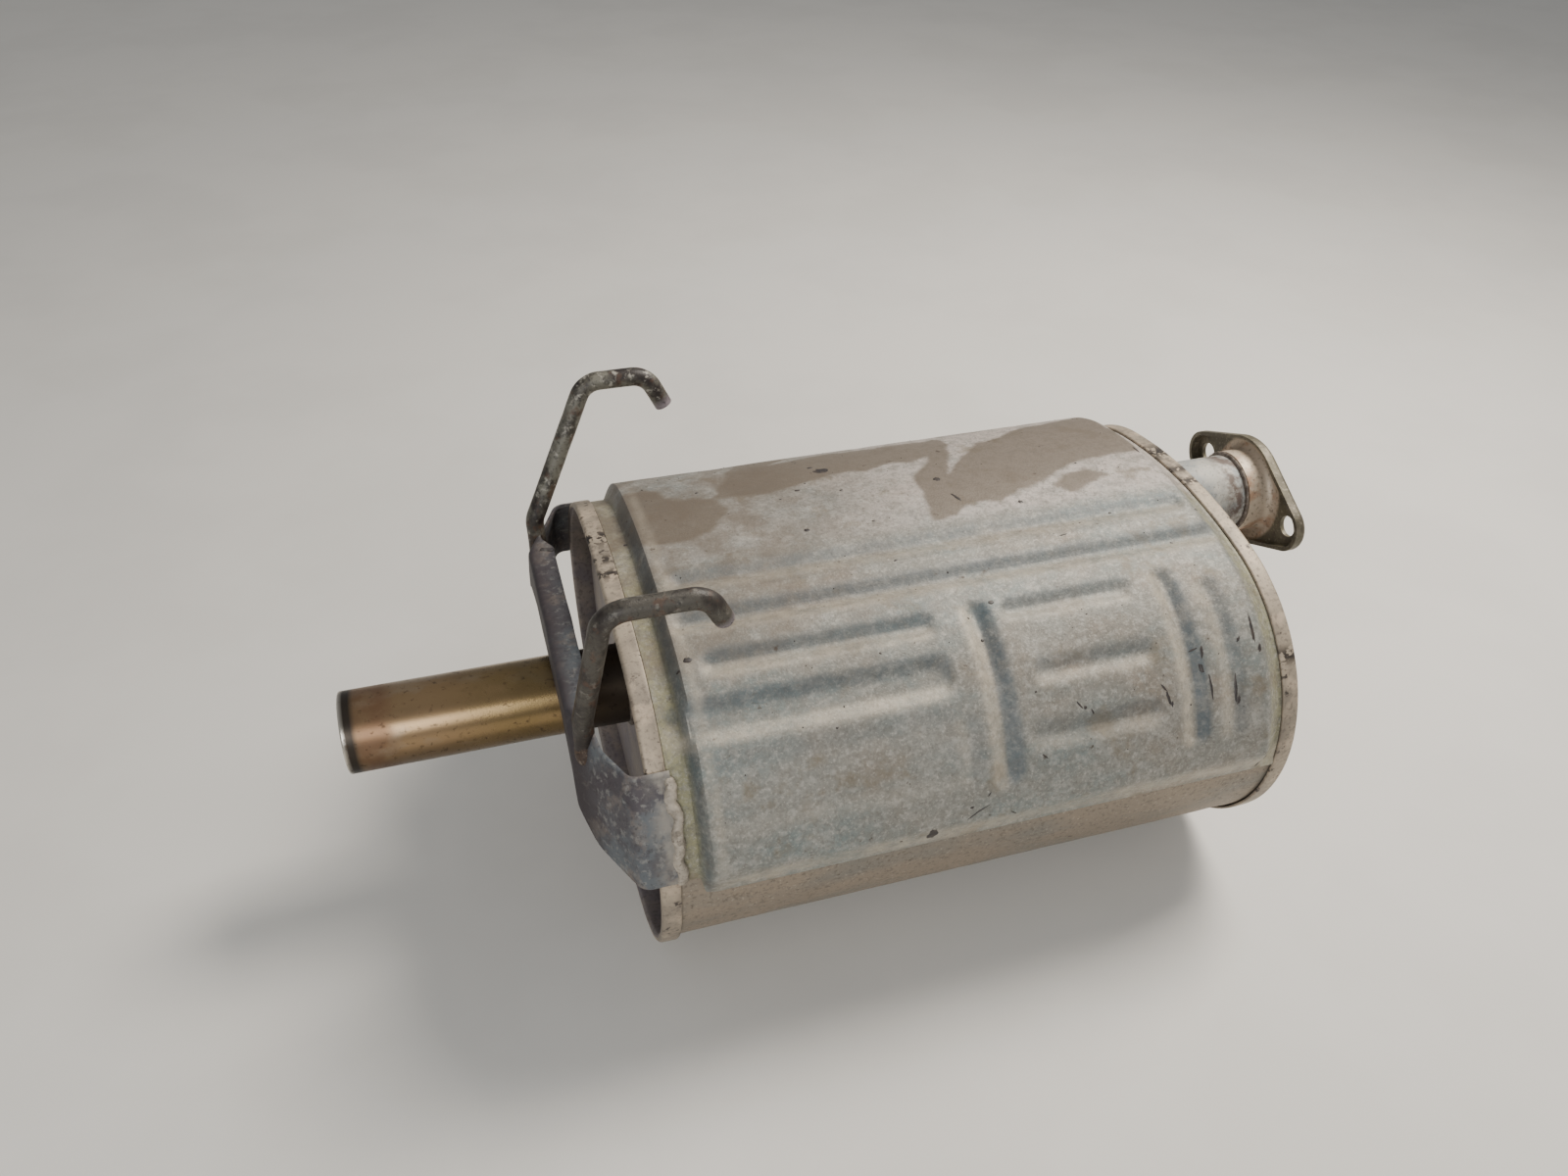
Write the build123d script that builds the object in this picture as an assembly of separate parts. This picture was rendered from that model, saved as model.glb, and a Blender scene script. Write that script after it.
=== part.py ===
from build123d import *
from math import asin, atan2, cos, degrees, radians, sin, tan
import os

# Rear exhaust silencer with an oval body, millimetres.
#
# Everything is modelled from the outlet rim: X = 0 is the outlet rim's outer plane, +X runs
# along the body to the inlet, and the body's axis is the X axis, with +Z up.  save() then moves
# each piece to the part's own frame, whose origin is the centre of the inlet flange's face.

# ---------------------------------------------------------------- body
BODY_LENGTH = 376.0          # over both rims
BODY_WIDTH = 296.0           # over the rims
BODY_HEIGHT = 212.4          # over the rims
CROWN = 5.2                  # how much tighter the flanks are than a half circle of the height
SHELL_SHEET = 1.2
HEAD_SHEET = 1.3
RIM_WIDTH = 10.8             # the rolled lock seam, along the body
HEM_LENGTH = 8.5             # the shell's folded edge inside the seam
HEAD_RECESS = 20.0           # rim plane to the floor of the head
HEAD_FLOOR_MARGIN = 4.5      # floor width between the skirt and the raised face
HEAD_FACE_RISE = 8.0
HEAD_FACE_SLOPE = 7.0
HEAD_BEND = 2.6
RIM_FLAT = 0.13              # part of the sheet's thickness left square at the rim's corner
SEAM_STRIP_WIDTH = 9.0       # long lock seam under the belly
SEAM_STRIP_HEIGHT = 1.2
SEAM_STRIP_GAP = 2.0

# ---------------------------------------------------------------- heat cover
COVER_SHEET = 1.0
COVER_STANDOFF = 8.0         # raised panel's skin above the rim's surface
COVER_END_GAP = 0.3          # between the cover's edge and the rolled rim
OUTLET_BAND = 10.0           # flat band beside the outlet rim
INLET_BAND = 2.0
BAND_LOW = 13.0              # lower ends of the bands above mid height
OUTLET_STEP = 6.0            # length of the wall up to the panel
INLET_STEP = 12.0
SKIRT_RISE = 20.0            # height of the sloping lower margin
BEAD_RADIUS = 9.0            # pressed grooves
BEAD_DEPTH = 2.4
MIDDLE_RING_SHIFT = 2.0      # middle ring groove beyond the body's middle
INLET_RING = 72.0            # stronger ring groove, from the inlet rim
FAINT_RING = 48.0            # shorter ring groove, from the inlet rim
RING_LOW = 42.0              # lengths up round the flank, from mid height
RING_HIGH = 134.0
FAINT_RING_HIGH = 122.0

# ---------------------------------------------------------------- outlet pipe
OUTLET_OD = 47.6
OUTLET_WALL = 1.5
OUTLET_Y = 2.5
OUTLET_DROP = 37.0           # inlet's axis to the outlet's
OUTLET_REACH = 150.0         # beyond the outlet rim
OUTLET_SIZING = 0.3          # end in the head drawn down this much in radius
SIZING_CLEAR = 0.8           # drawn end's start in front of the weld
END_ROLL = 1.2               # rounding of the tailpipe's end
PIPE_ENTRY = 22.0            # how far a pipe goes in behind its head's face
TUBE_LAP = 15.0              # how far an inner tube slides into its pipe
PIPE_BELL = 0.2              # pipe's inner end opened out this much in radius for its tube
BELL_CLEAR = 2.0             # opened stretch beyond the tube's end

# ---------------------------------------------------------------- inlet pipe and flange
INLET_OD = 50.8
INLET_WALL = 1.5
INLET_Y = 43.0
INLET_DROP = 50.7            # body's top to the inlet's axis
INLET_REACH = 84.0           # inlet rim to the flange's face
FLANGE_SHEET = 2.8
FLANGE_LIP = 8.0             # depth of the turned edge, sheet included
FLANGE_BOLT_SPACING = 95.0
FLANGE_HOLE = 14.0
FLANGE_EAR_RADIUS = 16.0
FLANGE_WAIST_MARGIN = 0.9    # flat between the collar's flare and the turned edge
FLANGE_EDGE_BEND = 3.4
COLLAR_LENGTH = 20.0         # flange face to the collar's end
COLLAR_WALL = 2.4
COLLAR_FLARE = 6.0           # radius of the draw from the plate into the collar
PIPE_INSET = 1.5             # pipe's end behind the flange's face

# ---------------------------------------------------------------- hanger bracket and rods
BRACKET_SHEET = 2.0
BRACKET_STANDOFF = 32.0      # outlet rim plane to the bar's outer face
BRACKET_LAP = 1.2            # how far the foot passes the rolled rim
BRACKET_SHOULDER = 9.0       # foot runs straight this far past the rim plane
BRACKET_INSET = 50.0         # how far the foot leans in towards the bar
FOOT_LENGTH = 35.0           # foot's straight lower edge, in from the body's side
FOOT_LOW = 15.0              # foot's lower edge above the body's axis
FOOT_HIGH = 70.0
BAR_TOP = 76.0
BAR_SHOULDER = 36.0          # bar's lower edge at its ends
BAR_FLANGE = 15.0            # depth of the bar's turned top edge
PIPE_ARCH_GAP = 8.0          # clear space over the outlet pipe
ROD_DIAMETER = 11.0
ROD_INSET = 61.0             # rod's foot in from the body's side
ROD_KNEE_OUT = 3.0           # knee further out than the foot
ROD_TOP_OUT = 20.0           # top run further out than the foot
ROD_BASE_Z = 57.0
ROD_KNEE_Z = 84.0
ROD_TOP_Z = 164.0
ROD_BEND = 14.0
FRONT_ROD_CORNER_X = -12.0   # where the leg turns into the run
FRONT_ROD_RUN_X = 37.0       # where the run turns down
REAR_ROD_CORNER_X = 15.0
REAR_ROD_RUN_X = 52.0
ROD_TIP_X = 10.0             # the turned-down tip
ROD_TIP_Y = 3.0
ROD_TIP_Z = 20.0
ROD_GAP = 0.1

# ---------------------------------------------------------------- inside
BAFFLE_SHEET = 1.2
BAFFLE_FLANGE = 10.0
BAFFLE_BEND = 3.0
BAFFLE_GAP = 0.2
OUTLET_BAFFLE_X = 112.0      # from the outlet rim
MIDDLE_BAFFLE_SHIFT = 12.0   # beyond the body's middle
INLET_BAFFLE = 92.0          # from the inlet rim
TUBE_WALL = 1.2
TUBE_GAP = 0.2               # tube in its pipe, and tube or pipe in a plate
TUBE_END_CLEAR = 16.0        # open tube end beyond its last baffle
RETURN_OD = 44.0
RETURN_Y = -58.0
RETURN_Z = -22.0
PERFORATION = 4.0
PERFORATION_PITCH = 9.0
PERFORATION_PAIRS = 7        # opposite pairs of holes in a ring
BLEED_HOLE = 9.0
BLEED_RADIUS = 34.0
BLEED_COUNT = 6
BLEED_Y = 70.0
BLEED_Z = -20.0

# ---------------------------------------------------------------- welds
PIPE_WELD = 3.2
FLANGE_WELD = 2.6
FOOT_WELD = 3.4
FOOT_WELD_STOP = 2.0         # degrees of the flank left bare at each end of a foot's bead
ROD_WELD = 3.2

# ---------------------------------------------------------------- worked-out sizes
HALF_WIDTH = BODY_WIDTH / 2
HALF_HEIGHT = BODY_HEIGHT / 2
FLANK_RADIUS = HALF_HEIGHT - CROWN
FLANK_Y = HALF_WIDTH - FLANK_RADIUS
HEM_SKIN = -HEAD_SHEET
SHELL_SKIN = HEM_SKIN - SHELL_SHEET
SHELL_BORE = SHELL_SKIN - SHELL_SHEET
COVER_BAND_SKIN = SHELL_SKIN + COVER_SHEET
FLANGE_X = BODY_LENGTH + INLET_REACH
INLET_Z = HALF_HEIGHT - INLET_DROP
OUTLET_Z = INLET_Z - OUTLET_DROP
MIDDLE_RING_X = BODY_LENGTH / 2 + MIDDLE_RING_SHIFT
INLET_RING_X = BODY_LENGTH - INLET_RING
FAINT_RING_X = BODY_LENGTH - FAINT_RING
COLLAR_RADIUS = INLET_OD / 2 + COLLAR_WALL
FLANGE_WAIST_RADIUS = COLLAR_RADIUS + COLLAR_FLARE + FLANGE_WAIST_MARGIN + FLANGE_SHEET
ROD_BASE_Y = HALF_WIDTH - ROD_INSET
ROD_KNEE_Y = ROD_BASE_Y + ROD_KNEE_OUT
ROD_TOP_Y = ROD_BASE_Y + ROD_TOP_OUT
MIDDLE_BAFFLE_X = BODY_LENGTH / 2 + MIDDLE_BAFFLE_SHIFT
INLET_BAFFLE_X = BODY_LENGTH - INLET_BAFFLE
COVER_START = RIM_WIDTH + COVER_END_GAP
COVER_END = BODY_LENGTH - RIM_WIDTH - COVER_END_GAP
HEAD_FACE_X = HEAD_RECESS - HEAD_FACE_RISE
INLET_TUBE_RADIUS = INLET_OD / 2 - INLET_WALL + PIPE_BELL - TUBE_GAP
OUTLET_TUBE_RADIUS = OUTLET_OD / 2 - OUTLET_WALL + PIPE_BELL - TUBE_GAP
OUTLET_SIZED_RADIUS = OUTLET_OD / 2 - OUTLET_SIZING
OUTLET_TUBE_START = HEAD_FACE_X + PIPE_ENTRY - TUBE_LAP
INLET_TUBE_END = BODY_LENGTH - OUTLET_TUBE_START
FRAME = Pos(-FLANGE_X, -INLET_Y, -INLET_Z)
CUT = 1.0                    # how far a cutting tool passes a face
PLANE_TOLERANCE = 0.01


def save(node, shape):
    """Write one node's STEP file in the part's own frame."""
    export_step(FRAME * shape, os.path.join("parts", node + ".step"))


# ---------------------------------------------------------------- shared shapes
def oval(skin):
    """The body's four-arc oval at X = 0, grown by skin from the rim's outer surface."""
    half_width = HALF_WIDTH + skin
    half_height = HALF_HEIGHT + skin
    flank = FLANK_RADIUS + skin
    crown = (half_width**2 + half_height**2 - 2 * half_width * flank) / (2 * (half_height - flank))
    meet = degrees(atan2(crown - half_height, half_width - flank))
    flank_centre = half_width - flank
    crown_centre = crown - half_height
    right = CenterArc((flank_centre, 0), flank, -meet, 2 * meet)
    top = CenterArc((0, -crown_centre), crown, meet, 180 - 2 * meet)
    left = CenterArc((-flank_centre, 0), flank, 180 - meet, 2 * meet)
    bottom = CenterArc((0, crown_centre), crown, 180 + meet, 180 - 2 * meet)
    return Plane.YZ * make_face([right, top, left, bottom])


def oval_block(skin, start, end):
    """A solid oval between two stations along the body."""
    return Pos(start, 0, 0) * extrude(oval(skin), amount=end - start)


def oval_ring(outer, inner, start, end):
    """An oval band of sheet."""
    return oval_block(outer, start, end) - oval_block(inner, start - CUT, end + CUT)


def rod_along_x(radius, y, z, start, end):
    """A round bar parallel to the body."""
    return Pos(start, y, z) * extrude(Plane.YZ * Circle(radius), amount=end - start)


def pipe_along_x(outer, inner, y, z, start, end):
    """A round pipe parallel to the body."""
    bore = rod_along_x(inner, y, z, start - CUT, end + CUT)
    return rod_along_x(outer, y, z, start, end) - bore


def ring_bead(radius, bead, y, z, x):
    """A weld bead around a pipe, centred on the corner it fills."""
    return Pos(x, y, z) * (Rot(0, 90, 0) * Torus(radius, bead))


def facing_edges(shape, x):
    """The edges that lie wholly in one station plane."""
    return shape.edges().filter_by_position(Axis.X, x - PLANE_TOLERANCE, x + PLANE_TOLERANCE)


def flip(shape):
    """The same piece at the body's other end."""
    return Pos(BODY_LENGTH, 0, 0) * mirror(shape, about=Plane.YZ)


# ---------------------------------------------------------------- casing
def outer_shell():
    """Wrapped oval sheet, hemmed outwards at both ends, with its long seam under the belly."""
    wall = oval_ring(SHELL_SKIN, SHELL_BORE, HEAD_SHEET, BODY_LENGTH - HEAD_SHEET)
    hem = oval_ring(HEM_SKIN, SHELL_BORE, HEAD_SHEET, HEAD_SHEET + HEM_LENGTH)
    strip_length = BODY_LENGTH - 2 * (RIM_WIDTH + SEAM_STRIP_GAP)
    strip_mask = Pos(BODY_LENGTH / 2, 0, -HALF_HEIGHT) * Box(
        strip_length, SEAM_STRIP_WIDTH, HALF_HEIGHT)
    strip = strip_mask & oval_ring(SHELL_SKIN + SEAM_STRIP_HEIGHT, SHELL_BORE, 0, BODY_LENGTH)
    return wall + hem + flip(hem) + strip


def head_form(sheet):
    """The hollow that a head's outer face bounds, or with the sheet added, its inner face."""
    skin = SHELL_BORE - HEAD_SHEET + sheet
    floor = HEAD_RECESS + sheet
    face_skin = SHELL_BORE - HEAD_SHEET - HEAD_FLOOR_MARGIN
    bowl = oval_block(skin, -CUT, floor)
    bowl = fillet(facing_edges(bowl, floor), HEAD_BEND + sheet)
    base = Pos(floor + CUT, 0, 0) * oval(face_skin - sheet + HEAD_FACE_SLOPE * CUT / HEAD_FACE_RISE)
    top = Pos(HEAD_FACE_X + sheet, 0, 0) * oval(face_skin - sheet - HEAD_FACE_SLOPE)
    raised = loft([top, base], ruled=True)
    return bowl - raised


def head():
    """Stamped end with a recessed, raised face and a rim rolled over the shell's hem."""
    dish = head_form(HEAD_SHEET) - head_form(0)
    dish = dish & oval_block(0, 0, HEAD_RECESS + HEAD_SHEET)
    curl = oval_ring(0, HEM_SKIN, 0, RIM_WIDTH)
    rim = oval_ring(0, SHELL_BORE - HEAD_SHEET, 0, HEAD_SHEET)
    body = dish + curl + rim
    outside = facing_edges(body, 0).sort_by(SortBy.LENGTH)[-4:]
    return fillet(outside, HEAD_SHEET - RIM_FLAT)


def outlet_head():
    """The head that the tailpipe leaves through."""
    hole = rod_along_x(OUTLET_SIZED_RADIUS + TUBE_GAP, OUTLET_Y, OUTLET_Z, -CUT, HEAD_RECESS + CUT)
    return head() - hole


def inlet_head():
    """The same stamping, turned about, with the inlet's hole."""
    hole = rod_along_x(INLET_OD / 2 + TUBE_GAP, INLET_Y, INLET_Z,
                       BODY_LENGTH - HEAD_RECESS - CUT, BODY_LENGTH + CUT)
    return flip(head()) - hole


# ---------------------------------------------------------------- heat cover
def girth_point(girth, skin):
    """Point and outward angle on the front half, a length up round the panel from mid height."""
    radius = FLANK_RADIUS + COVER_STANDOFF
    meet = atan2(crown_radius() - HALF_HEIGHT, FLANK_Y)
    turn = girth / radius
    if turn <= meet:
        y = -FLANK_Y - (FLANK_RADIUS + skin) * cos(turn)
        return y, (FLANK_RADIUS + skin) * sin(turn), 180 - degrees(turn)
    over = (girth - meet * radius) / (crown_radius() + COVER_STANDOFF)
    angle = meet + over
    y = -(crown_radius() + skin) * cos(angle)
    z = (crown_radius() + skin) * sin(angle) - (crown_radius() - HALF_HEIGHT)
    return y, z, 180 - degrees(angle)


def crown_radius():
    """Radius of the oval's top, tangent to both flanks."""
    return (HALF_WIDTH**2 + HALF_HEIGHT**2 - 2 * HALF_WIDTH * FLANK_RADIUS) / (2 * CROWN)


def long_bead(start, end, girth, sheet):
    """Tool for a groove pressed along the body, round ended."""
    radius = BEAD_RADIUS + sheet
    y, z, _ = girth_point(girth, COVER_STANDOFF + BEAD_RADIUS - BEAD_DEPTH)
    bar = rod_along_x(radius, y, z, start, end)
    return bar + Pos(start, y, z) * Sphere(radius) + Pos(end, y, z) * Sphere(radius)


def round_bead(x, low, high, sheet):
    """Tool for a groove pressed round the flank, round ended."""
    radius = BEAD_RADIUS + sheet
    reach = FLANK_RADIUS + COVER_STANDOFF
    path = reach + BEAD_RADIUS - BEAD_DEPTH
    start = degrees(low / reach)
    sweep_angle = degrees((high - low) / reach)
    ring = Plane.XY * Pos(x, -FLANK_Y - path, 0) * Circle(radius)
    axis = Axis((0, -FLANK_Y, 0), (-1, 0, 0))
    tool = revolve(ring, axis, sweep_angle)
    tool = Pos(0, -FLANK_Y, 0) * (Rot(-start, 0, 0) * (Pos(0, FLANK_Y, 0) * tool))
    for girth in (low, high):
        y, z, _ = girth_point(girth, COVER_STANDOFF + BEAD_RADIUS - BEAD_DEPTH)
        tool = tool + Pos(x, y, z) * Sphere(radius)
    return tool


LONG_BEADS = (                # start, end, girth
    (42.0, BODY_LENGTH - 36.0, 189.0),
    (36.0, BODY_LENGTH - 32.0, 160.0),
    (46.0, MIDDLE_RING_X - 32.0, 131.0),
    (36.0, MIDDLE_RING_X - 32.0, 102.0),
    (MIDDLE_RING_X + 22.0, INLET_RING_X - 30.0, 131.0),
    (MIDDLE_RING_X + 22.0, INLET_RING_X - 30.0, 92.0),
    (MIDDLE_RING_X + 22.0, INLET_RING_X - 30.0, 58.0),
)
ROUND_BEADS = (               # x, lower girth, upper girth
    (MIDDLE_RING_X, RING_LOW, RING_HIGH),
    (INLET_RING_X, RING_LOW, RING_HIGH),
    (FAINT_RING_X, RING_LOW, FAINT_RING_HIGH),
)
REAR_ROUND_BEADS = ROUND_BEADS[:2]


def margin_mask(sheet):
    """Everything above the panel's sloping lower margins, along the whole body."""
    foot = HALF_WIDTH + COVER_BAND_SKIN - sheet
    wide = HALF_WIDTH + COVER_STANDOFF + CUT
    lean = (wide - foot) * SKIRT_RISE / (COVER_STANDOFF - COVER_BAND_SKIN)
    top = HALF_HEIGHT + COVER_STANDOFF + CUT
    corners = [(-foot, 0), (-wide, lean), (-wide, top), (wide, top), (wide, lean), (foot, 0)]
    return extrude(Plane.YZ * make_face(Polyline(*corners, close=True)), amount=BODY_LENGTH)


def panel_form(sheet):
    """The raised panel as a solid, shrunk by the sheet to give its inside."""
    rise = COVER_STANDOFF - COVER_BAND_SKIN
    outlet_foot = COVER_START + OUTLET_BAND + sheet * tan(atan2(rise, OUTLET_STEP) / 2)
    inlet_foot = COVER_END - INLET_BAND - sheet * tan(atan2(rise, INLET_STEP) / 2)
    low = COVER_BAND_SKIN - sheet
    high = COVER_STANDOFF - sheet
    sections = [
        Pos(outlet_foot, 0, 0) * oval(low),
        Pos(outlet_foot + OUTLET_STEP, 0, 0) * oval(high),
        Pos(inlet_foot - INLET_STEP, 0, 0) * oval(high),
        Pos(inlet_foot, 0, 0) * oval(low),
    ]
    return loft(sections, ruled=True) & margin_mask(sheet)


def bead_tools(sheet):
    """Every pressed groove, grown by the sheet for the inner face."""
    tools = [long_bead(*bead, sheet) for bead in LONG_BEADS]
    tools += [round_bead(*bead, sheet) for bead in ROUND_BEADS]
    tools += [mirror(round_bead(*bead, sheet), about=Plane.XZ) for bead in REAR_ROUND_BEADS]
    return tools


def heat_cover():
    """Ribbed sheet over the upper half of the shell, raised off it between its end bands."""
    upper = Pos(BODY_LENGTH / 2, 0, BAND_LOW + HALF_HEIGHT) * Box(
        BODY_LENGTH, 2 * BODY_WIDTH, BODY_HEIGHT)
    band = oval_block(COVER_BAND_SKIN, COVER_START, COVER_END) & upper
    skin = panel_form(0) + band
    for tool in bead_tools(0):
        skin = skin - tool
    inside = panel_form(COVER_SHEET)
    for tool in bead_tools(COVER_SHEET):
        inside = inside - tool
    hollow = oval_block(SHELL_SKIN, 0, BODY_LENGTH)
    return skin - inside - hollow


# ---------------------------------------------------------------- outlet
def outlet_pipe():
    """Tailpipe stub: end rolled smooth, drawn down in the head and opened out for its tube."""
    sizing = HEAD_FACE_X - PIPE_WELD - SIZING_CLEAR
    end = HEAD_FACE_X + PIPE_ENTRY
    outside = rod_along_x(OUTLET_OD / 2, OUTLET_Y, OUTLET_Z, -OUTLET_REACH, sizing)
    rim = facing_edges(outside, -OUTLET_REACH)
    outside = fillet(rim, END_ROLL) + rod_along_x(OUTLET_SIZED_RADIUS, OUTLET_Y, OUTLET_Z, sizing, end)
    bore = rod_along_x(OUTLET_OD / 2 - OUTLET_WALL, OUTLET_Y, OUTLET_Z, -OUTLET_REACH - CUT, end)
    bell = rod_along_x(OUTLET_TUBE_RADIUS + TUBE_GAP, OUTLET_Y, OUTLET_Z,
                       OUTLET_TUBE_START - BELL_CLEAR, end + CUT)
    return outside - bore - bell


def outlet_pipe_weld():
    """Bead between the tailpipe and the outlet head."""
    bead = ring_bead(OUTLET_SIZED_RADIUS, PIPE_WELD, OUTLET_Y, OUTLET_Z, HEAD_FACE_X)
    outside = bead & oval_block(0, 0, HEAD_FACE_X)
    return outside - rod_along_x(OUTLET_SIZED_RADIUS, OUTLET_Y, OUTLET_Z, -PIPE_WELD, HEAD_RECESS)


# ---------------------------------------------------------------- inlet
def inlet_pipe():
    """Short pipe from the flange into the inlet head, opened out inside for its tube."""
    start = BODY_LENGTH - HEAD_FACE_X - PIPE_ENTRY
    pipe = pipe_along_x(INLET_OD / 2, INLET_OD / 2 - INLET_WALL, INLET_Y, INLET_Z,
                        start, FLANGE_X - PIPE_INSET)
    return pipe - rod_along_x(INLET_TUBE_RADIUS + TUBE_GAP, INLET_Y, INLET_Z,
                              start - CUT, INLET_TUBE_END + BELL_CLEAR)


def inlet_pipe_weld():
    """Bead between the inlet pipe and the inlet head."""
    face = BODY_LENGTH - HEAD_FACE_X
    bead = ring_bead(INLET_OD / 2, PIPE_WELD, INLET_Y, INLET_Z, face)
    outside = bead & oval_block(0, face, BODY_LENGTH)
    return outside - rod_along_x(INLET_OD / 2, INLET_Y, INLET_Z, face - CUT, BODY_LENGTH)


def flange_outline(grow):
    """Two bolt ears blended into a round waist by tangent lines."""
    ear_y = FLANGE_BOLT_SPACING / 2
    waist = Circle(FLANGE_WAIST_RADIUS + grow)
    ears = Pos(-ear_y, 0) * Circle(FLANGE_EAR_RADIUS + grow)
    ears = ears + Pos(ear_y, 0) * Circle(FLANGE_EAR_RADIUS + grow)
    lean = asin((FLANGE_WAIST_RADIUS - FLANGE_EAR_RADIUS) / ear_y)
    corners = []
    for side_y, side_z in ((1, 1), (1, -1), (-1, -1), (-1, 1)):
        near = (FLANGE_WAIST_RADIUS + grow) * sin(lean), (FLANGE_WAIST_RADIUS + grow) * cos(lean)
        far = (FLANGE_EAR_RADIUS + grow) * sin(lean) + ear_y, (FLANGE_EAR_RADIUS + grow) * cos(lean)
        pair = [near, far] if side_y == side_z else [far, near]
        corners += [(side_y * y, side_z * z) for y, z in pair]
    web = make_face(Polyline(*corners, close=True))
    return Plane.YZ * (waist + ears + web)


def inlet_flange():
    """Pressed two-bolt flange with a turned edge and a drawn collar for the pipe."""
    place = Pos(FLANGE_X - FLANGE_LIP, INLET_Y, INLET_Z)
    tray = extrude(flange_outline(0), amount=FLANGE_LIP)
    tray = fillet(facing_edges(tray, FLANGE_LIP), FLANGE_EDGE_BEND)
    well_depth = FLANGE_LIP - FLANGE_SHEET
    well = extrude(flange_outline(-FLANGE_SHEET), amount=well_depth)
    well = fillet(facing_edges(well, well_depth), FLANGE_EDGE_BEND - FLANGE_SHEET)
    collar_start = FLANGE_LIP - COLLAR_LENGTH
    body = (tray - well) + rod_along_x(COLLAR_RADIUS, 0, 0, collar_start, well_depth)
    root = [edge for edge in facing_edges(body, well_depth).filter_by(GeomType.CIRCLE)
            if abs(edge.radius - COLLAR_RADIUS) < PLANE_TOLERANCE]
    body = fillet(root, COLLAR_FLARE)
    body = body - rod_along_x(INLET_OD / 2, 0, 0, collar_start - CUT, FLANGE_LIP + CUT)
    for side in (-1, 1):
        body = body - rod_along_x(FLANGE_HOLE / 2, side * FLANGE_BOLT_SPACING / 2, 0,
                                  -CUT, FLANGE_LIP + CUT)
    return place * body


def flange_weld():
    """Bead between the collar's end and the inlet pipe."""
    collar_end = FLANGE_X - COLLAR_LENGTH
    bead = ring_bead(INLET_OD / 2, FLANGE_WELD, INLET_Y, INLET_Z, collar_end)
    bead = bead - rod_along_x(INLET_OD, INLET_Y, INLET_Z, collar_end, FLANGE_X)
    return bead - rod_along_x(INLET_OD / 2, INLET_Y, INLET_Z, BODY_LENGTH, FLANGE_X)


# ---------------------------------------------------------------- hanger
def bracket_form(sheet):
    """Front half of the bracket's outer form, or its inside when shrunk by the sheet."""
    lean = atan2(BRACKET_INSET, BRACKET_STANDOFF - BRACKET_SHOULDER)
    knee_x = -BRACKET_SHOULDER + sheet * tan(lean / 2)
    bar_x = -BRACKET_STANDOFF + sheet
    radius = FLANK_RADIUS + BRACKET_SHEET - sheet
    flank = Pos(knee_x, -FLANK_Y, 0) * (Plane.YZ * Circle(radius))
    skirt = extrude(flank, amount=RIM_WIDTH + BRACKET_LAP - knee_x)
    slope = Vector(bar_x - knee_x, (knee_x - bar_x) * tan(lean), 0)
    return skirt + extrude(flank, amount=slope.length, dir=slope)


def bracket_outline():
    """The bracket's shape seen along the body: two feet and an arched bar."""
    edge = HALF_WIDTH + BRACKET_SHEET + CUT
    arch = OUTLET_Z + OUTLET_OD / 2 + PIPE_ARCH_GAP
    points = [
        (-edge, FOOT_LOW), (-HALF_WIDTH + FOOT_LENGTH, FOOT_LOW),
        (-ROD_BASE_Y, BAR_SHOULDER), (-OUTLET_OD, arch), (0, arch), (0, BAR_TOP),
        (-ROD_BASE_Y - ROD_DIAMETER / 2, BAR_TOP), (-ROD_BASE_Y - ROD_DIAMETER, FOOT_HIGH),
        (-edge, FOOT_HIGH),
    ]
    return Plane.YZ * make_face(Polyline(*points, close=True))


def hanger_bracket():
    """Pressed bridge over the tailpipe: two feet lapping the rolled rim, joined by a bar."""
    outer = bracket_form(0)
    sheet = outer - bracket_form(BRACKET_SHEET)
    reach = BRACKET_STANDOFF + RIM_WIDTH + BRACKET_LAP
    half = sheet & (Pos(-BRACKET_STANDOFF, 0, 0) * extrude(bracket_outline(), amount=reach))
    ledge_y = ROD_BASE_Y - ROD_DIAMETER / 2 - ROD_GAP
    ledge = Box(BAR_FLANGE, ledge_y, BRACKET_SHEET, align=(Align.MIN, Align.MAX, Align.MAX))
    half = half + (outer & (Pos(-BRACKET_STANDOFF, 0, BAR_TOP) * ledge))
    half = half - rod_foot(ROD_DIAMETER / 2 + ROD_GAP)
    return half + mirror(half, about=Plane.XZ)


def rod_axis_x():
    """Station of a rod's foot, lying against the bar's inner face."""
    return -BRACKET_STANDOFF + BRACKET_SHEET + ROD_DIAMETER / 2 + ROD_GAP


def rod_foot(radius):
    """A bar along the lowest stretch of the front rod."""
    foot = Vector(rod_axis_x(), -ROD_BASE_Y, ROD_BASE_Z)
    knee = Vector(rod_axis_x(), -ROD_KNEE_Y, ROD_KNEE_Z)
    plane = Plane(foot - (knee - foot).normalized() * CUT, z_dir=knee - foot)
    return extrude(plane * Circle(radius), amount=(knee - foot).length + CUT)


def hanger_rod(side, corner_x, run_x):
    """Bent rod: up from the bar, along over the body and down at its tip."""
    points = [
        (rod_axis_x(), side * ROD_BASE_Y, ROD_BASE_Z),
        (rod_axis_x(), side * ROD_KNEE_Y, ROD_KNEE_Z),
        (corner_x, side * ROD_TOP_Y, ROD_TOP_Z),
        (run_x, side * ROD_TOP_Y, ROD_TOP_Z),
        (run_x + ROD_TIP_X, side * (ROD_TOP_Y - ROD_TIP_Y), ROD_TOP_Z - ROD_TIP_Z),
    ]
    path = FilletPolyline(*points, radius=ROD_BEND)
    return sweep(Plane(path @ 0, z_dir=path % 0) * Circle(ROD_DIAMETER / 2), path=path)


def front_rod():
    """The rod on the side the steep leg stands."""
    return hanger_rod(-1, FRONT_ROD_CORNER_X, FRONT_ROD_RUN_X)


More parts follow.
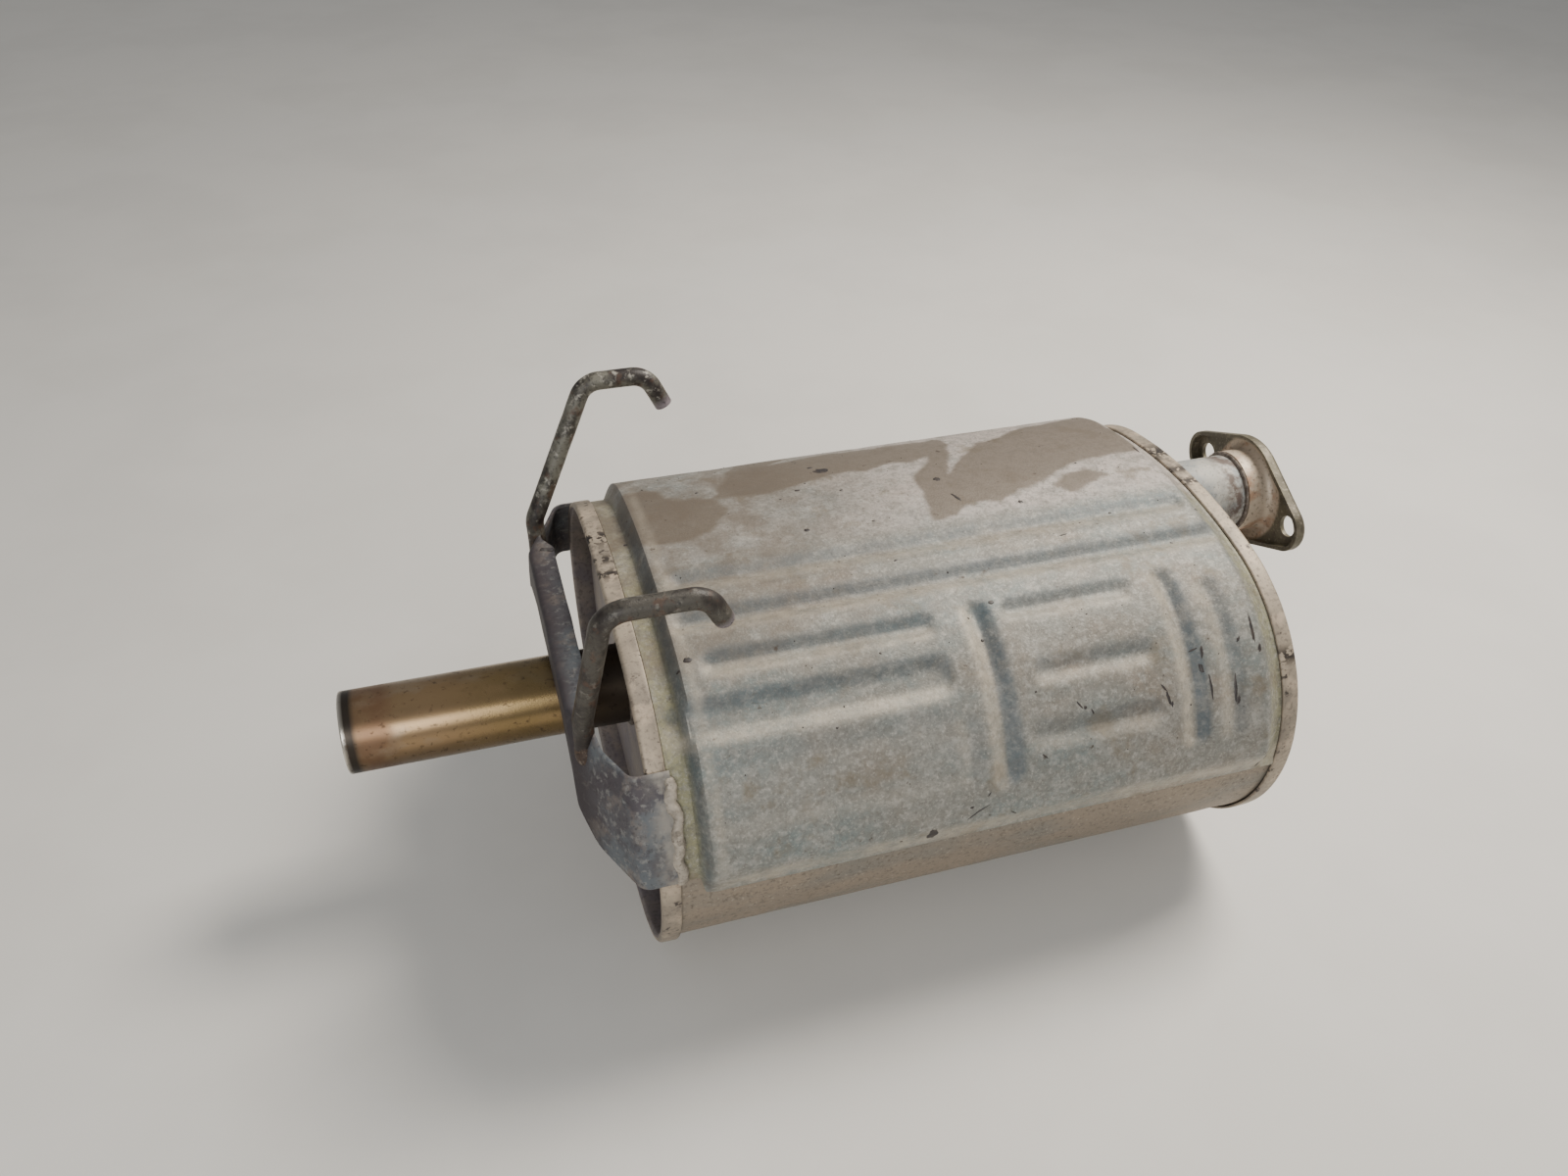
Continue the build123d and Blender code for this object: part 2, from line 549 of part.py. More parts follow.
def rear_rod():
    """The rod whose leg leans further along the body."""
    return hanger_rod(1, REAR_ROD_CORNER_X, REAR_ROD_RUN_X)


def foot_weld(side):
    """Bead along a foot's end, on the rolled rim and the cover's band."""
    path = FLANK_RADIUS + BRACKET_SHEET / 2
    low = degrees(asin(FOOT_LOW / path)) + FOOT_WELD_STOP
    high = degrees(asin(FOOT_HIGH / path)) - FOOT_WELD_STOP
    start = RIM_WIDTH + BRACKET_LAP
    ring = Plane.XY * Pos(start, -FLANK_Y - path, 0) * Circle(FOOT_WELD)
    bead = revolve(ring, Axis((0, -FLANK_Y, 0), (-1, 0, 0)), high - low)
    bead = Pos(0, -FLANK_Y, 0) * (Rot(-low, 0, 0) * (Pos(0, FLANK_Y, 0) * bead))
    bead = bead if side < 0 else mirror(bead, about=Plane.XZ)
    bead = bead - oval_block(0, 0, start - BRACKET_LAP)
    bead = bead - oval_block(COVER_BAND_SKIN, 0, BODY_LENGTH)
    return bead - hanger_bracket()


def rod_weld(side):
    """Bead on the bracket's outer face around the rod, where the rod leaves its slot."""
    around = rod_foot(ROD_DIAMETER / 2 + ROD_WELD) - rod_foot(ROD_DIAMETER / 2)
    bead = around & (bracket_form(-ROD_WELD) - bracket_form(0))
    below = Pos(0, -ROD_BASE_Y, BAR_TOP) * Box(
        BODY_HEIGHT, BODY_HEIGHT, BODY_HEIGHT, align=(Align.CENTER, Align.CENTER, Align.MAX))
    bead = bead & below
    return bead if side < 0 else mirror(bead, about=Plane.XZ)


# ---------------------------------------------------------------- inside
def tube_ends():
    """Open ends of the tubes, beyond the first and the last baffle."""
    return OUTLET_BAFFLE_X - TUBE_END_CLEAR, INLET_BAFFLE_X + BAFFLE_FLANGE + TUBE_END_CLEAR


def perforation_rows(before, after):
    """Stations of the rings of holes that fill the chamber between two baffles."""
    room = after - before - BAFFLE_SHEET - PERFORATION
    count = int(room // PERFORATION_PITCH) + 1
    stretch = (count - 1) * PERFORATION_PITCH
    first = (before + BAFFLE_SHEET + after - stretch) / 2
    return [first + index * PERFORATION_PITCH for index in range(count)]


def inner_tube(outer, y, z, start, end, rows):
    """A plain tube with a ring of holes at each row's station, every other ring staggered."""
    tube = pipe_along_x(outer, outer - TUBE_WALL, y, z, start, end)
    drill = Cylinder(PERFORATION / 2, 2 * (outer + CUT))
    drills = []
    for index, x in enumerate(rows):
        for hole in range(PERFORATION_PAIRS):
            turn = 180 * (hole + index % 2 / 2) / PERFORATION_PAIRS
            drills.append(Pos(x, y, z) * (Rot(turn, 0, 0) * drill))
    return tube - drills


def inlet_tube():
    """Carries gas from the inlet pipe to the chamber at the outlet end."""
    rows = perforation_rows(OUTLET_BAFFLE_X, MIDDLE_BAFFLE_X)
    return inner_tube(INLET_TUBE_RADIUS, INLET_Y, INLET_Z, tube_ends()[0], INLET_TUBE_END, rows)


def outlet_tube():
    """Carries gas from the chamber at the inlet end to the tailpipe."""
    rows = perforation_rows(MIDDLE_BAFFLE_X, INLET_BAFFLE_X)
    return inner_tube(OUTLET_TUBE_RADIUS, OUTLET_Y, OUTLET_Z, OUTLET_TUBE_START, tube_ends()[1], rows)


def return_tube():
    """Carries gas back from the outlet end's chamber to the inlet end's."""
    rows = perforation_rows(OUTLET_BAFFLE_X, MIDDLE_BAFFLE_X)
    return inner_tube(RETURN_OD / 2, RETURN_Y, RETURN_Z, *tube_ends(), rows)


def tube_bores():
    """The three bores that every baffle has for the tubes."""
    bores = rod_along_x(INLET_TUBE_RADIUS + TUBE_GAP, INLET_Y, INLET_Z, 0, BODY_LENGTH)
    bores = bores + rod_along_x(OUTLET_TUBE_RADIUS + TUBE_GAP, OUTLET_Y, OUTLET_Z, 0, BODY_LENGTH)
    return bores + rod_along_x(RETURN_OD / 2 + TUBE_GAP, RETURN_Y, RETURN_Z, 0, BODY_LENGTH)


def baffle(x):
    """Flanged oval plate inside the shell, with tube bores and a ring of bleed holes."""
    skin = SHELL_BORE - BAFFLE_GAP
    outer = oval_block(skin, 0, BAFFLE_FLANGE)
    outer = fillet(facing_edges(outer, 0), BAFFLE_BEND)
    inner = oval_block(skin - BAFFLE_SHEET, BAFFLE_SHEET, BAFFLE_FLANGE + CUT)
    inner = fillet(facing_edges(inner, BAFFLE_SHEET), BAFFLE_BEND - BAFFLE_SHEET)
    plate = Pos(x, 0, 0) * (outer - inner) - tube_bores()
    for index in range(BLEED_COUNT):
        turn = radians(360 * index / BLEED_COUNT)
        y = BLEED_Y + BLEED_RADIUS * cos(turn)
        z = BLEED_Z + BLEED_RADIUS * sin(turn)
        plate = plate - rod_along_x(BLEED_HOLE / 2, y, z, x - CUT, x + BAFFLE_SHEET + CUT)
    return plate


# ---------------------------------------------------------------- files
def main():
    """Build every piece and write one STEP file for each."""
    os.makedirs("parts", exist_ok=True)
    save("outer_shell", outer_shell())
    save("heat_cover", heat_cover())
    save("outlet_head", outlet_head())
    save("inlet_head", inlet_head())
    save("outlet_pipe", outlet_pipe())
    save("inlet_pipe", inlet_pipe())
    save("inlet_flange", inlet_flange())
    save("hanger_bracket", hanger_bracket())
    save("hanger_rod_front", front_rod())
    save("hanger_rod_rear", rear_rod())
    save("outlet_pipe_weld", outlet_pipe_weld())
    save("inlet_pipe_weld", inlet_pipe_weld())
    save("flange_weld", flange_weld())
    for name, side in (("front", -1), ("rear", 1)):
        save("bracket_weld_" + name, foot_weld(side))
        save("rod_weld_" + name, rod_weld(side))
    save("baffle_outlet", baffle(OUTLET_BAFFLE_X))
    save("baffle_middle", baffle(MIDDLE_BAFFLE_X))
    save("baffle_inlet", baffle(INLET_BAFFLE_X))
    save("inlet_tube", inlet_tube())
    save("outlet_tube", outlet_tube())
    save("return_tube", return_tube())


main()
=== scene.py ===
"""Rear exhaust silencer: its visible surfaces, finishes, light and camera.

Sizes are millimetres in the maker's own axes: x = 0 is the outlet rim's plane, x runs to the
inlet, y to the rear flank and z up, with the body's axis at y = z = 0.  Bench.place turns them
into the frame's metres.
"""

import logging
import math
from dataclasses import dataclass, replace
from enum import Enum
from typing import Any, Callable, Optional, Sequence

import bpy
import numpy as np
from mathutils import Matrix, Vector


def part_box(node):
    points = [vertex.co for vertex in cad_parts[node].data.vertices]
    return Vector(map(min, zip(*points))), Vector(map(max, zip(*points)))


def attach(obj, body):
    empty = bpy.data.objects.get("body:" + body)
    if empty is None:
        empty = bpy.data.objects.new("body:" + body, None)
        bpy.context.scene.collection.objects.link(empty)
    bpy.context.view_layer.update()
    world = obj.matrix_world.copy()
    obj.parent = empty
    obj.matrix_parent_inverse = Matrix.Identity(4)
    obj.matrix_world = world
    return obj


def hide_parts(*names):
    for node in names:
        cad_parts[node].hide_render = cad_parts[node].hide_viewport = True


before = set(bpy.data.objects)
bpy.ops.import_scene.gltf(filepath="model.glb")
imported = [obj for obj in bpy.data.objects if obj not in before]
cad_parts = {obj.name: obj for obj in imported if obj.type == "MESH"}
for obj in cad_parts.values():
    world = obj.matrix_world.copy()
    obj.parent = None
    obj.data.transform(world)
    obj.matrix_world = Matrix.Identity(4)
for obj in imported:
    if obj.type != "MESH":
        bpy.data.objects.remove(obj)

log = logging.getLogger("silencer")
Array = np.ndarray
MM = 0.001
SHARP = math.radians(38.0)
FACE_DEPTH = 12.0  # how far inside the rim's plane both heads' faces lie
INNER_NODES = ("baffle_outlet", "baffle_middle", "baffle_inlet", "inlet_tube", "outlet_tube",
               "return_tube")


# ------------------------------------------------------------------ sizes from the frame
@dataclass(frozen=True)
class Bench:
    """Where the body's own axes lie in the frame, and its size over the rims.

    The origin is in the frame's metres and the rest in millimetres.  A pipe is its centre's y
    and z, its radius and its outer end's x.  The rim is where the cover starts.
    """

    origin: tuple[float, float, float]
    length: float
    half_width: float
    half_height: float
    outlet: tuple[float, float, float, float]
    inlet: tuple[float, float, float, float]
    flange_x: float
    rim: float

    @classmethod
    def measured(cls) -> "Bench":
        """Reads the two heads', the pipes' and the flange's boxes.

        Returns:
            The bench, in millimetres apart from its origin.
        """
        low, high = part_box("outlet_head")
        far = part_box("inlet_head")[1]
        origin = (low.x, (low.y + high.y) / 2, (low.z + high.z) / 2)
        return cls(
            origin=origin,
            length=(far.x - low.x) / MM,
            half_width=(high.y - low.y) / 2 / MM,
            half_height=(high.z - low.z) / 2 / MM,
            outlet=cls.pipe("outlet_pipe", origin),
            inlet=cls.pipe("inlet_pipe", origin),
            flange_x=(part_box("inlet_flange")[1].x - origin[0]) / MM,
            rim=(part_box("heat_cover")[0].x - origin[0]) / MM,
        )

    @staticmethod
    def pipe(node: str, origin: Sequence[float]) -> tuple[float, float, float, float]:
        """Finds a pipe that lies along x.

        Args:
            node: The CAD node.
            origin: The body's origin in metres.

        Returns:
            Its centre y and z, its radius and its outer end's x.
        """
        low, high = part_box(node)
        y = ((low.y + high.y) / 2 - origin[1]) / MM
        z = ((low.z + high.z) / 2 - origin[2]) / MM
        end = low.x if low.x < origin[0] else high.x
        return y, z, (high.y - low.y) / 2 / MM, (end - origin[0]) / MM

    def place(self, points: Array) -> Array:
        """Millimetres in the body's axes to metres in the frame."""
        return points * MM + np.array(self.origin)


# ------------------------------------------------------------------ shapes as functions
def smooth(t: Array) -> Array:
    """Cubic ease: nothing below 0, one above 1, level at both ends."""
    t = np.clip(t, 0.0, 1.0)
    return t * t * (3.0 - 2.0 * t)


def bump(distance: Array, half: float, flat: float = 0.0) -> Array:
    """One inside the flat half width, easing to nothing at the half width."""
    return 1.0 - smooth((np.abs(distance) - flat) / (half - flat))


def lumps(points: Array, cell: float, seed: int) -> Array:
    """Noise in space: random numbers at the corners of cubes, eased between them.

    Args:
        points: Any array of x, y, z in millimetres.
        cell: The cube's side.
        seed: Picks the random numbers.

    Returns:
        Values from -1 to 1.
    """
    side = 24
    table = np.random.default_rng(seed).uniform(-1.0, 1.0, (side, side, side))
    scaled = points / cell
    base = np.floor(scaled).astype(int)
    part = smooth(scaled - base)
    total = np.zeros(points.shape[:-1])
    for corner in np.ndindex(2, 2, 2):
        weight = np.ones(points.shape[:-1])
        for axis, step in enumerate(corner):
            weight = weight * (part[..., axis] if step else 1.0 - part[..., axis])
        index = (base + np.array(corner)) % side
        total = total + weight * table[index[..., 0], index[..., 1], index[..., 2]]
    return total


def stations(*stretches: tuple[float, float]) -> Array:
    """Stations from 0 to the last end, each stretch with its own spacing.

    Args:
        stretches: Pairs of end and spacing; the first pair's end is the start.

    Returns:
        The stations, the ends of the stretches among them.
    """
    parts = []
    start = stretches[0][0]
    for end, step in stretches[1:]:
        count = max(1, round((end - start) / step))
        parts.append(np.linspace(start, end, count, endpoint=False))
        start = end
    return np.append(np.concatenate(parts), start)


def rounded(points: Sequence[Sequence[float]], radii: Sequence[float], step: float) -> Array:
    """Straight runs with each corner an arc tangent to both runs.

    Args:
        points: The corners, in two or three dimensions.
        radii: One radius for each corner between the ends.
        step: The spacing along arcs; straight runs are spaced three times as wide.

    Returns:
        The path's points, in order.
    """
    corners = np.array(points, float)
    path = [corners[:1]]
    for index, radius in enumerate(radii, start=1):
        here = corners[index]
        into = (here - corners[index - 1]) / np.linalg.norm(here - corners[index - 1])
        out = (corners[index + 1] - here) / np.linalg.norm(corners[index + 1] - here)
        turn = math.acos(float(np.clip(into @ out, -1.0, 1.0)))
        cut = radius * math.tan(turn / 2)
        side = out - into * math.cos(turn)
        side = side / np.linalg.norm(side)
        angle = np.linspace(0.0, turn, max(3, round(radius * turn / step) + 1))[:, None]
        arc = here - into * cut + radius * (into * np.sin(angle) + side * (1.0 - np.cos(angle)))
        path += [run_between(path[-1][-1], arc[0], step * 3), arc[1:]]
    path.append(run_between(path[-1][-1], corners[-1], step * 3))
    return np.concatenate(path)


def run_between(start: Array, end: Array, step: float) -> Array:
    """Evenly spaced points on a straight run, its start left out."""
    count = max(1, round(float(np.linalg.norm(end - start)) / step))
    return start + (end - start) * (np.arange(1, count + 1) / count)[:, None]


@dataclass(frozen=True)
class Oval:
    """The body's section: two flank arcs and two crown arcs, tangent where they meet."""

    half_width: float
    half_height: float
    crown: float = 5.2

    @property
    def flank(self) -> float:
        """Radius of the flank arcs."""
        return self.half_height - self.crown

    @property
    def centre(self) -> float:
        """Distance of the flank arcs' centres from the axis."""
        return self.half_width - self.flank

    @property
    def top(self) -> float:
        """Radius of the crown arcs."""
        width, height = self.half_width, self.half_height
        return (width**2 + height**2 - 2 * width * self.flank) / (2 * self.crown)

    @property
    def meet(self) -> float:
        """Angle up the flank at which the crown takes over."""
        return math.atan2(self.top - self.half_height, self.centre)

    def quarter(self, skin: float) -> float:
        """Girth of a quarter of the section, a skin's thickness outside the rim."""
        return self.meet * (self.flank + skin) + (math.pi / 2 - self.meet) * (self.top + skin)

    def section(self, girth: Array, reference: float) -> tuple[Array, Array]:
        """Points and outward normals at a girth measured up the front flank and over.

        A quarter is the flank's arc up to the meeting angle and then the crown's arc; the
        other three quarters are its mirror images.

        Args:
            girth: Length round the section from mid height of the front flank.
            reference: Skin at which the girth is measured.

        Returns:
            The rim's points and the normals, each with x left at zero.
        """
        quarter = self.quarter(reference)
        around = np.mod(girth, 4 * quarter)
        index = np.floor(around / quarter).astype(int)
        local = np.where(index % 2 == 0, around - index * quarter, (index + 1) * quarter - around)
        flank_girth = self.meet * (self.flank + reference)
        angle = np.where(
            local <= flank_girth,
            local / (self.flank + reference),
            self.meet + (local - flank_girth) / (self.top + reference),
        )
        on_flank = angle <= self.meet
        radius = np.where(on_flank, self.flank, self.top)
        out = np.where(on_flank, self.centre, 0.0) + radius * np.cos(angle)
        up = radius * np.sin(angle) - np.where(on_flank, 0.0, self.top - self.half_height)
        side = np.where((index == 1) | (index == 2), 1.0, -1.0)
        rise = np.where(index < 2, 1.0, -1.0)
        zero = np.zeros_like(angle)
        points = np.stack([zero, side * out, rise * up], -1)
        normals = np.stack([zero, side * np.cos(angle), rise * np.sin(angle)], -1)
        return points, normals


# ------------------------------------------------------------------ meshes from grids
@dataclass
class Surface:
    """A grid of points with what its finish needs to know at each one."""

    points: Array
    wrap_rows: bool = False
    wrap_columns: bool = False
    poles: bool = False
    uv: Optional[Array] = None
    paint: Optional[dict[str, Array]] = None

    def normals(self) -> Array:
        """Unit normals: the cross product of the grid's two directions at each point.

        Returns:
            One normal for each point.
        """
        along = self.slope(0, self.wrap_rows)
        across = self.slope(1, self.wrap_columns)
        normal = np.cross(along, across)
        return normal / np.maximum(np.linalg.norm(normal, axis=-1, keepdims=True), 1e-9)

    def slope(self, axis: int, wrap: bool) -> Array:
        """Difference of each point's neighbours along one direction of the grid.

        Args:
            axis: 0 for along the rows, 1 for along the columns.
            wrap: Whether that direction closes on itself.

        Returns:
            One difference for each point.
        """
        if wrap:
            return np.roll(self.points, -1, axis) - np.roll(self.points, 1, axis)
        return np.gradient(self.points, axis=axis)

    def quads(self) -> Array:
        """Corner indices of each cell, in the order that makes the normals face out.

        Returns:
            Rows of four indices.
        """
        rows, columns = self.points.shape[:2]
        index = np.arange(rows * columns).reshape(rows, columns)
        down = np.roll(index, -1, 0) if self.wrap_rows else index[1:]
        here = index if self.wrap_rows else index[:-1]
        cells = [here, down]
        if self.wrap_columns:
            here_next, down_next = (np.roll(part, -1, 1) for part in cells)
        else:
            here_next, down_next = here[:, 1:], down[:, 1:]
            here, down = here[:, :-1], down[:, :-1]
        return np.stack([here, down, down_next, here_next], -1).reshape(-1, 4)

    def border(self) -> Array:
        """Pairs of neighbours round the open edge, as the outer face's cells run.

        Returns:
            Rows of two indices.
        """
        rows, columns = self.points.shape[:2]
        index = np.arange(rows * columns).reshape(rows, columns)
        sides = []
        if not self.wrap_columns:
            sides += [index[:, 0][::-1], index[:, -1]]
        if not self.wrap_rows:
            sides += [index[0], index[-1][::-1]]
        pairs = []
        for side, wrapped in zip(sides, self.side_wraps()):
            ahead = np.roll(side, -1) if wrapped else side[1:]
            here = side if wrapped else side[:-1]
            pairs.append(np.stack([here, ahead], -1))
        return np.concatenate(pairs)

    def side_wraps(self) -> list[bool]:
        """Whether each side of the border, in border's order, closes on itself.

        Returns:
            One flag for each open side.
        """
        wraps = []
        if not self.wrap_columns:
            wraps += [self.wrap_rows, self.wrap_rows]
        if not self.wrap_rows:
            wraps += [self.wrap_columns, self.wrap_columns]
        return wraps

    def fans(self) -> tuple[Array, Array]:
        """A centre point for each end row, and the triangles from it to that row.

        Returns:
            The two centres, and rows of three indices in which they follow the grid's points.
        """
        rows, columns = self.points.shape[:2]
        ahead = np.arange(columns)
        after = np.roll(ahead, -1)
        last = (rows - 1) * columns
        count = rows * columns
        start = np.stack([after, np.full(columns, count), ahead], -1)
        end = np.stack([ahead + last, np.full(columns, count + 1), after + last], -1)
        return self.points[[0, -1]].mean(1), np.concatenate([start, end])

    def piece(self, name: str, bench: Bench, sheet: float = 0.0) -> bpy.types.Object:
        """Makes the mesh object, with a wall of sheet thickness behind it if one is given.

        Args:
            name: The piece's name.
            bench: Turns millimetres into the frame.
            sheet: Wall thickness; 0 leaves the surface as it is, closed by its own shape.

        Returns:
            The object, at the origin.
        """
        points = self.points.reshape(-1, 3)
        quads = self.quads()
        triangles = np.zeros((0, 3), int)
        count = len(points)
        copies = 1
        if sheet:
            inner = points - self.normals().reshape(-1, 3) * sheet
            edge = self.border()
            rim = np.stack([edge[:, 0], edge[:, 1], edge[:, 1] + count, edge[:, 0] + count], -1)
            quads = np.concatenate([quads, quads[:, ::-1] + count, rim])
            points = np.concatenate([points, inner])
            copies = 2
        if self.poles:
            centres, triangles = self.fans()
            points = np.concatenate([points, centres])
        obj = mesh_object(name, bench.place(points), quads, triangles)
        if self.uv is not None:
            layer = obj.data.uv_layers.new(name="UVMap")
            values = np.tile(self.uv.reshape(-1, 2), (copies, 1))[quads.reshape(-1)]
            layer.data.foreach_set("uv", values.astype(np.float32).ravel())
        for key, values in (self.paint or {}).items():
            layer = obj.data.attributes.new(key, "FLOAT", "POINT")
            whole = np.tile(values.ravel(), copies)
            if self.poles:
                whole = np.append(whole, [values[0].mean(), values[-1].mean()])
            layer.data.foreach_set("value", whole.astype(np.float32))
        return obj


def mesh_object(name: str, points: Array, quads: Array, triangles: Array) -> bpy.types.Object:
    """Puts points and faces into a new, smooth shaded object.

    Args:
        name: The object's name.
        points: Rows of x, y and z in metres.
        quads: Rows of four corners.
        triangles: Rows of three corners.

    Returns:
        The object, in the scene.
    """
    mesh = bpy.data.meshes.new(name)
    corners = np.concatenate([quads.ravel(), triangles.ravel()])
    starts = np.concatenate([np.arange(len(quads)) * 4,
                             quads.size + np.arange(len(triangles)) * 3])
    mesh.vertices.add(len(points))
    mesh.vertices.foreach_set("co", points.astype(np.float32).ravel())
    mesh.loops.add(len(corners))
    mesh.loops.foreach_set("vertex_index", corners.astype(np.int32))
    mesh.polygons.add(len(starts))
    mesh.polygons.foreach_set("loop_start", starts.astype(np.int32))
    mesh.update(calc_edges=True)
    mesh.polygons.foreach_set("use_smooth", np.ones(len(starts), bool))
    mesh.set_sharp_from_angle(angle=SHARP)
    obj = bpy.data.objects.new(name, mesh)
    bpy.context.scene.collection.objects.link(obj)
    return obj


def lathe(profile: Array, y: float, z: float, count: int, closed: bool) -> Surface:
    """Turns a profile of x and radius about a line parallel to x.

    Args:
        profile: Rows of x and radius, so that the surface faces away from the line.
        y: The line's y.
        z: The line's z.
        count: Columns round the turn.
        closed: Whether the profile closes on itself.

    Returns:
        The turned surface.
    """
    angle = np.linspace(0.0, 2 * math.pi, count, endpoint=False)
    x = np.repeat(profile[:, :1], count, 1)
    radius = profile[:, 1:]
    points = np.stack([x, y + radius * np.cos(angle), z + radius * np.sin(angle)], -1)
    return Surface(points, wrap_rows=closed, wrap_columns=True)


def swept(path: Array, radius: Array, count: int,
          across: tuple[float, float, float]) -> Surface:
    """A round section carried along a path.

    Each section's plane is square to the path.  Its first direction is the cross product of
    the path's direction and one fixed direction, brought to length 1, and its second is the
    cross product of the path's direction and the first.

    Args:
        path: The centre line.
        radius: One radius for each point of the path; it may go to nothing at the ends.
        count: Points round the section.
        across: The fixed direction, which the path never runs along.

    Returns:
        The tube.
    """
    tangent = np.gradient(path, axis=0)
    tangent = tangent / np.linalg.norm(tangent, axis=1, keepdims=True)
    first = np.cross(tangent, across)
    first = first / np.linalg.norm(first, axis=1, keepdims=True)
    second = np.cross(tangent, first)
    angle = np.linspace(0.0, 2 * math.pi, count, endpoint=False)
    ring = first[:, None] * np.cos(angle)[:, None] - second[:, None] * np.sin(angle)[:, None]
    points = path[:, None] + ring * radius[:, None, None]
    return Surface(points, wrap_columns=True, poles=True)


def capped(path: Array, radius: float, start_round: float, end_round: float) -> tuple[Array, Array]:
    """Adds ends to a tube's path: quarter circles that narrow it, and a slight dome.

    Args:
        path: The centre line.
        radius: The tube's radius.
        start_round: Radius of the edge at the start.
        end_round: Radius of the edge at the end.

    Returns:
        The longer path and the radius at each of its points.
    """
    dome = 0.12
    gone = run_length(path)
    left = gone[-1] - gone
    keep = path[(gone > start_round + 2 * dome) & (left > end_round + 2 * dome)]
    angle = np.linspace(math.pi / 2, 0.0, 7)
    ends = []
    for tip, inner, edge in ((path[0], path[1], start_round), (path[-1], path[-2], end_round)):
        back = (inner - tip) / np.linalg.norm(inner - tip)
        depth = np.append(0.0, dome + edge * (1.0 - np.sin(angle)))
        size = np.append(0.1, radius - edge * (1.0 - np.cos(angle)))
        ends.append((tip + back * depth[:, None], size))
    line = np.concatenate([ends[0][0], keep, ends[1][0][::-1]])
    size = np.concatenate([ends[0][1], np.full(len(keep), radius), ends[1][1][::-1]])
    return line, size


def run_length(path: Array) -> Array:
    """Length along a path up to each of its points."""
    return np.append(0.0, np.cumsum(np.linalg.norm(np.diff(path, axis=0), axis=1)))


# ------------------------------------------------------------------ finishes
def linear(code: str) -> tuple[float, float, float, float]:
    """Turns an sRGB hex colour into linear light by the standard's own curve.

    Args:
        code: The colour, as in "#8090A0".

    Returns:
        Red, green, blue and alpha.
    """
    channels = [int(code[index:index + 2], 16) / 255 for index in (1, 3, 5)]
    values = [c / 12.92 if c <= 0.04045 else ((c + 0.055) / 1.055) ** 2.4 for c in channels]
    return values[0], values[1], values[2], 1.0


def add(tree: bpy.types.NodeTree, kind: str, settings: Optional[dict[str, Any]] = None,
        values: Optional[dict[Any, Any]] = None,
        links: Optional[dict[Any, Any]] = None) -> bpy.types.Node:
    """Adds a node.

    Args:
        tree: The material's node tree.
        kind: The node's type.
        settings: Properties of the node.
        values: Constants for its inputs, by name or number.
        links: Output sockets that feed its inputs, by name or number.

    Returns:
        The node.
    """
    node = tree.nodes.new(kind)
    for key, value in (settings or {}).items():
        setattr(node, key, value)
    for key, value in (values or {}).items():
        node.inputs[key].default_value = value
    for key, socket in (links or {}).items():
        tree.links.new(socket, node.inputs[key])
    return node


@dataclass(frozen=True)
class Layer:
    """One colour laid over what is below it, where noise or a painted value is high.

    The mask is noise of the given cell, cut between low and high, times the painted value
    if one is named.  Stretch is how much longer than wide the noise's cells are along x.
    With a reach, the layer stays within that radius of the frame's x axis.
    """

    colour: str
    amount: float
    cell: float
    low: float = 0.45
    high: float = 0.6
    paint: str = ""
    detail: float = 4.0
    stretch: float = 1.0
    roughness: float = 0.0
    reach: float = 0.0


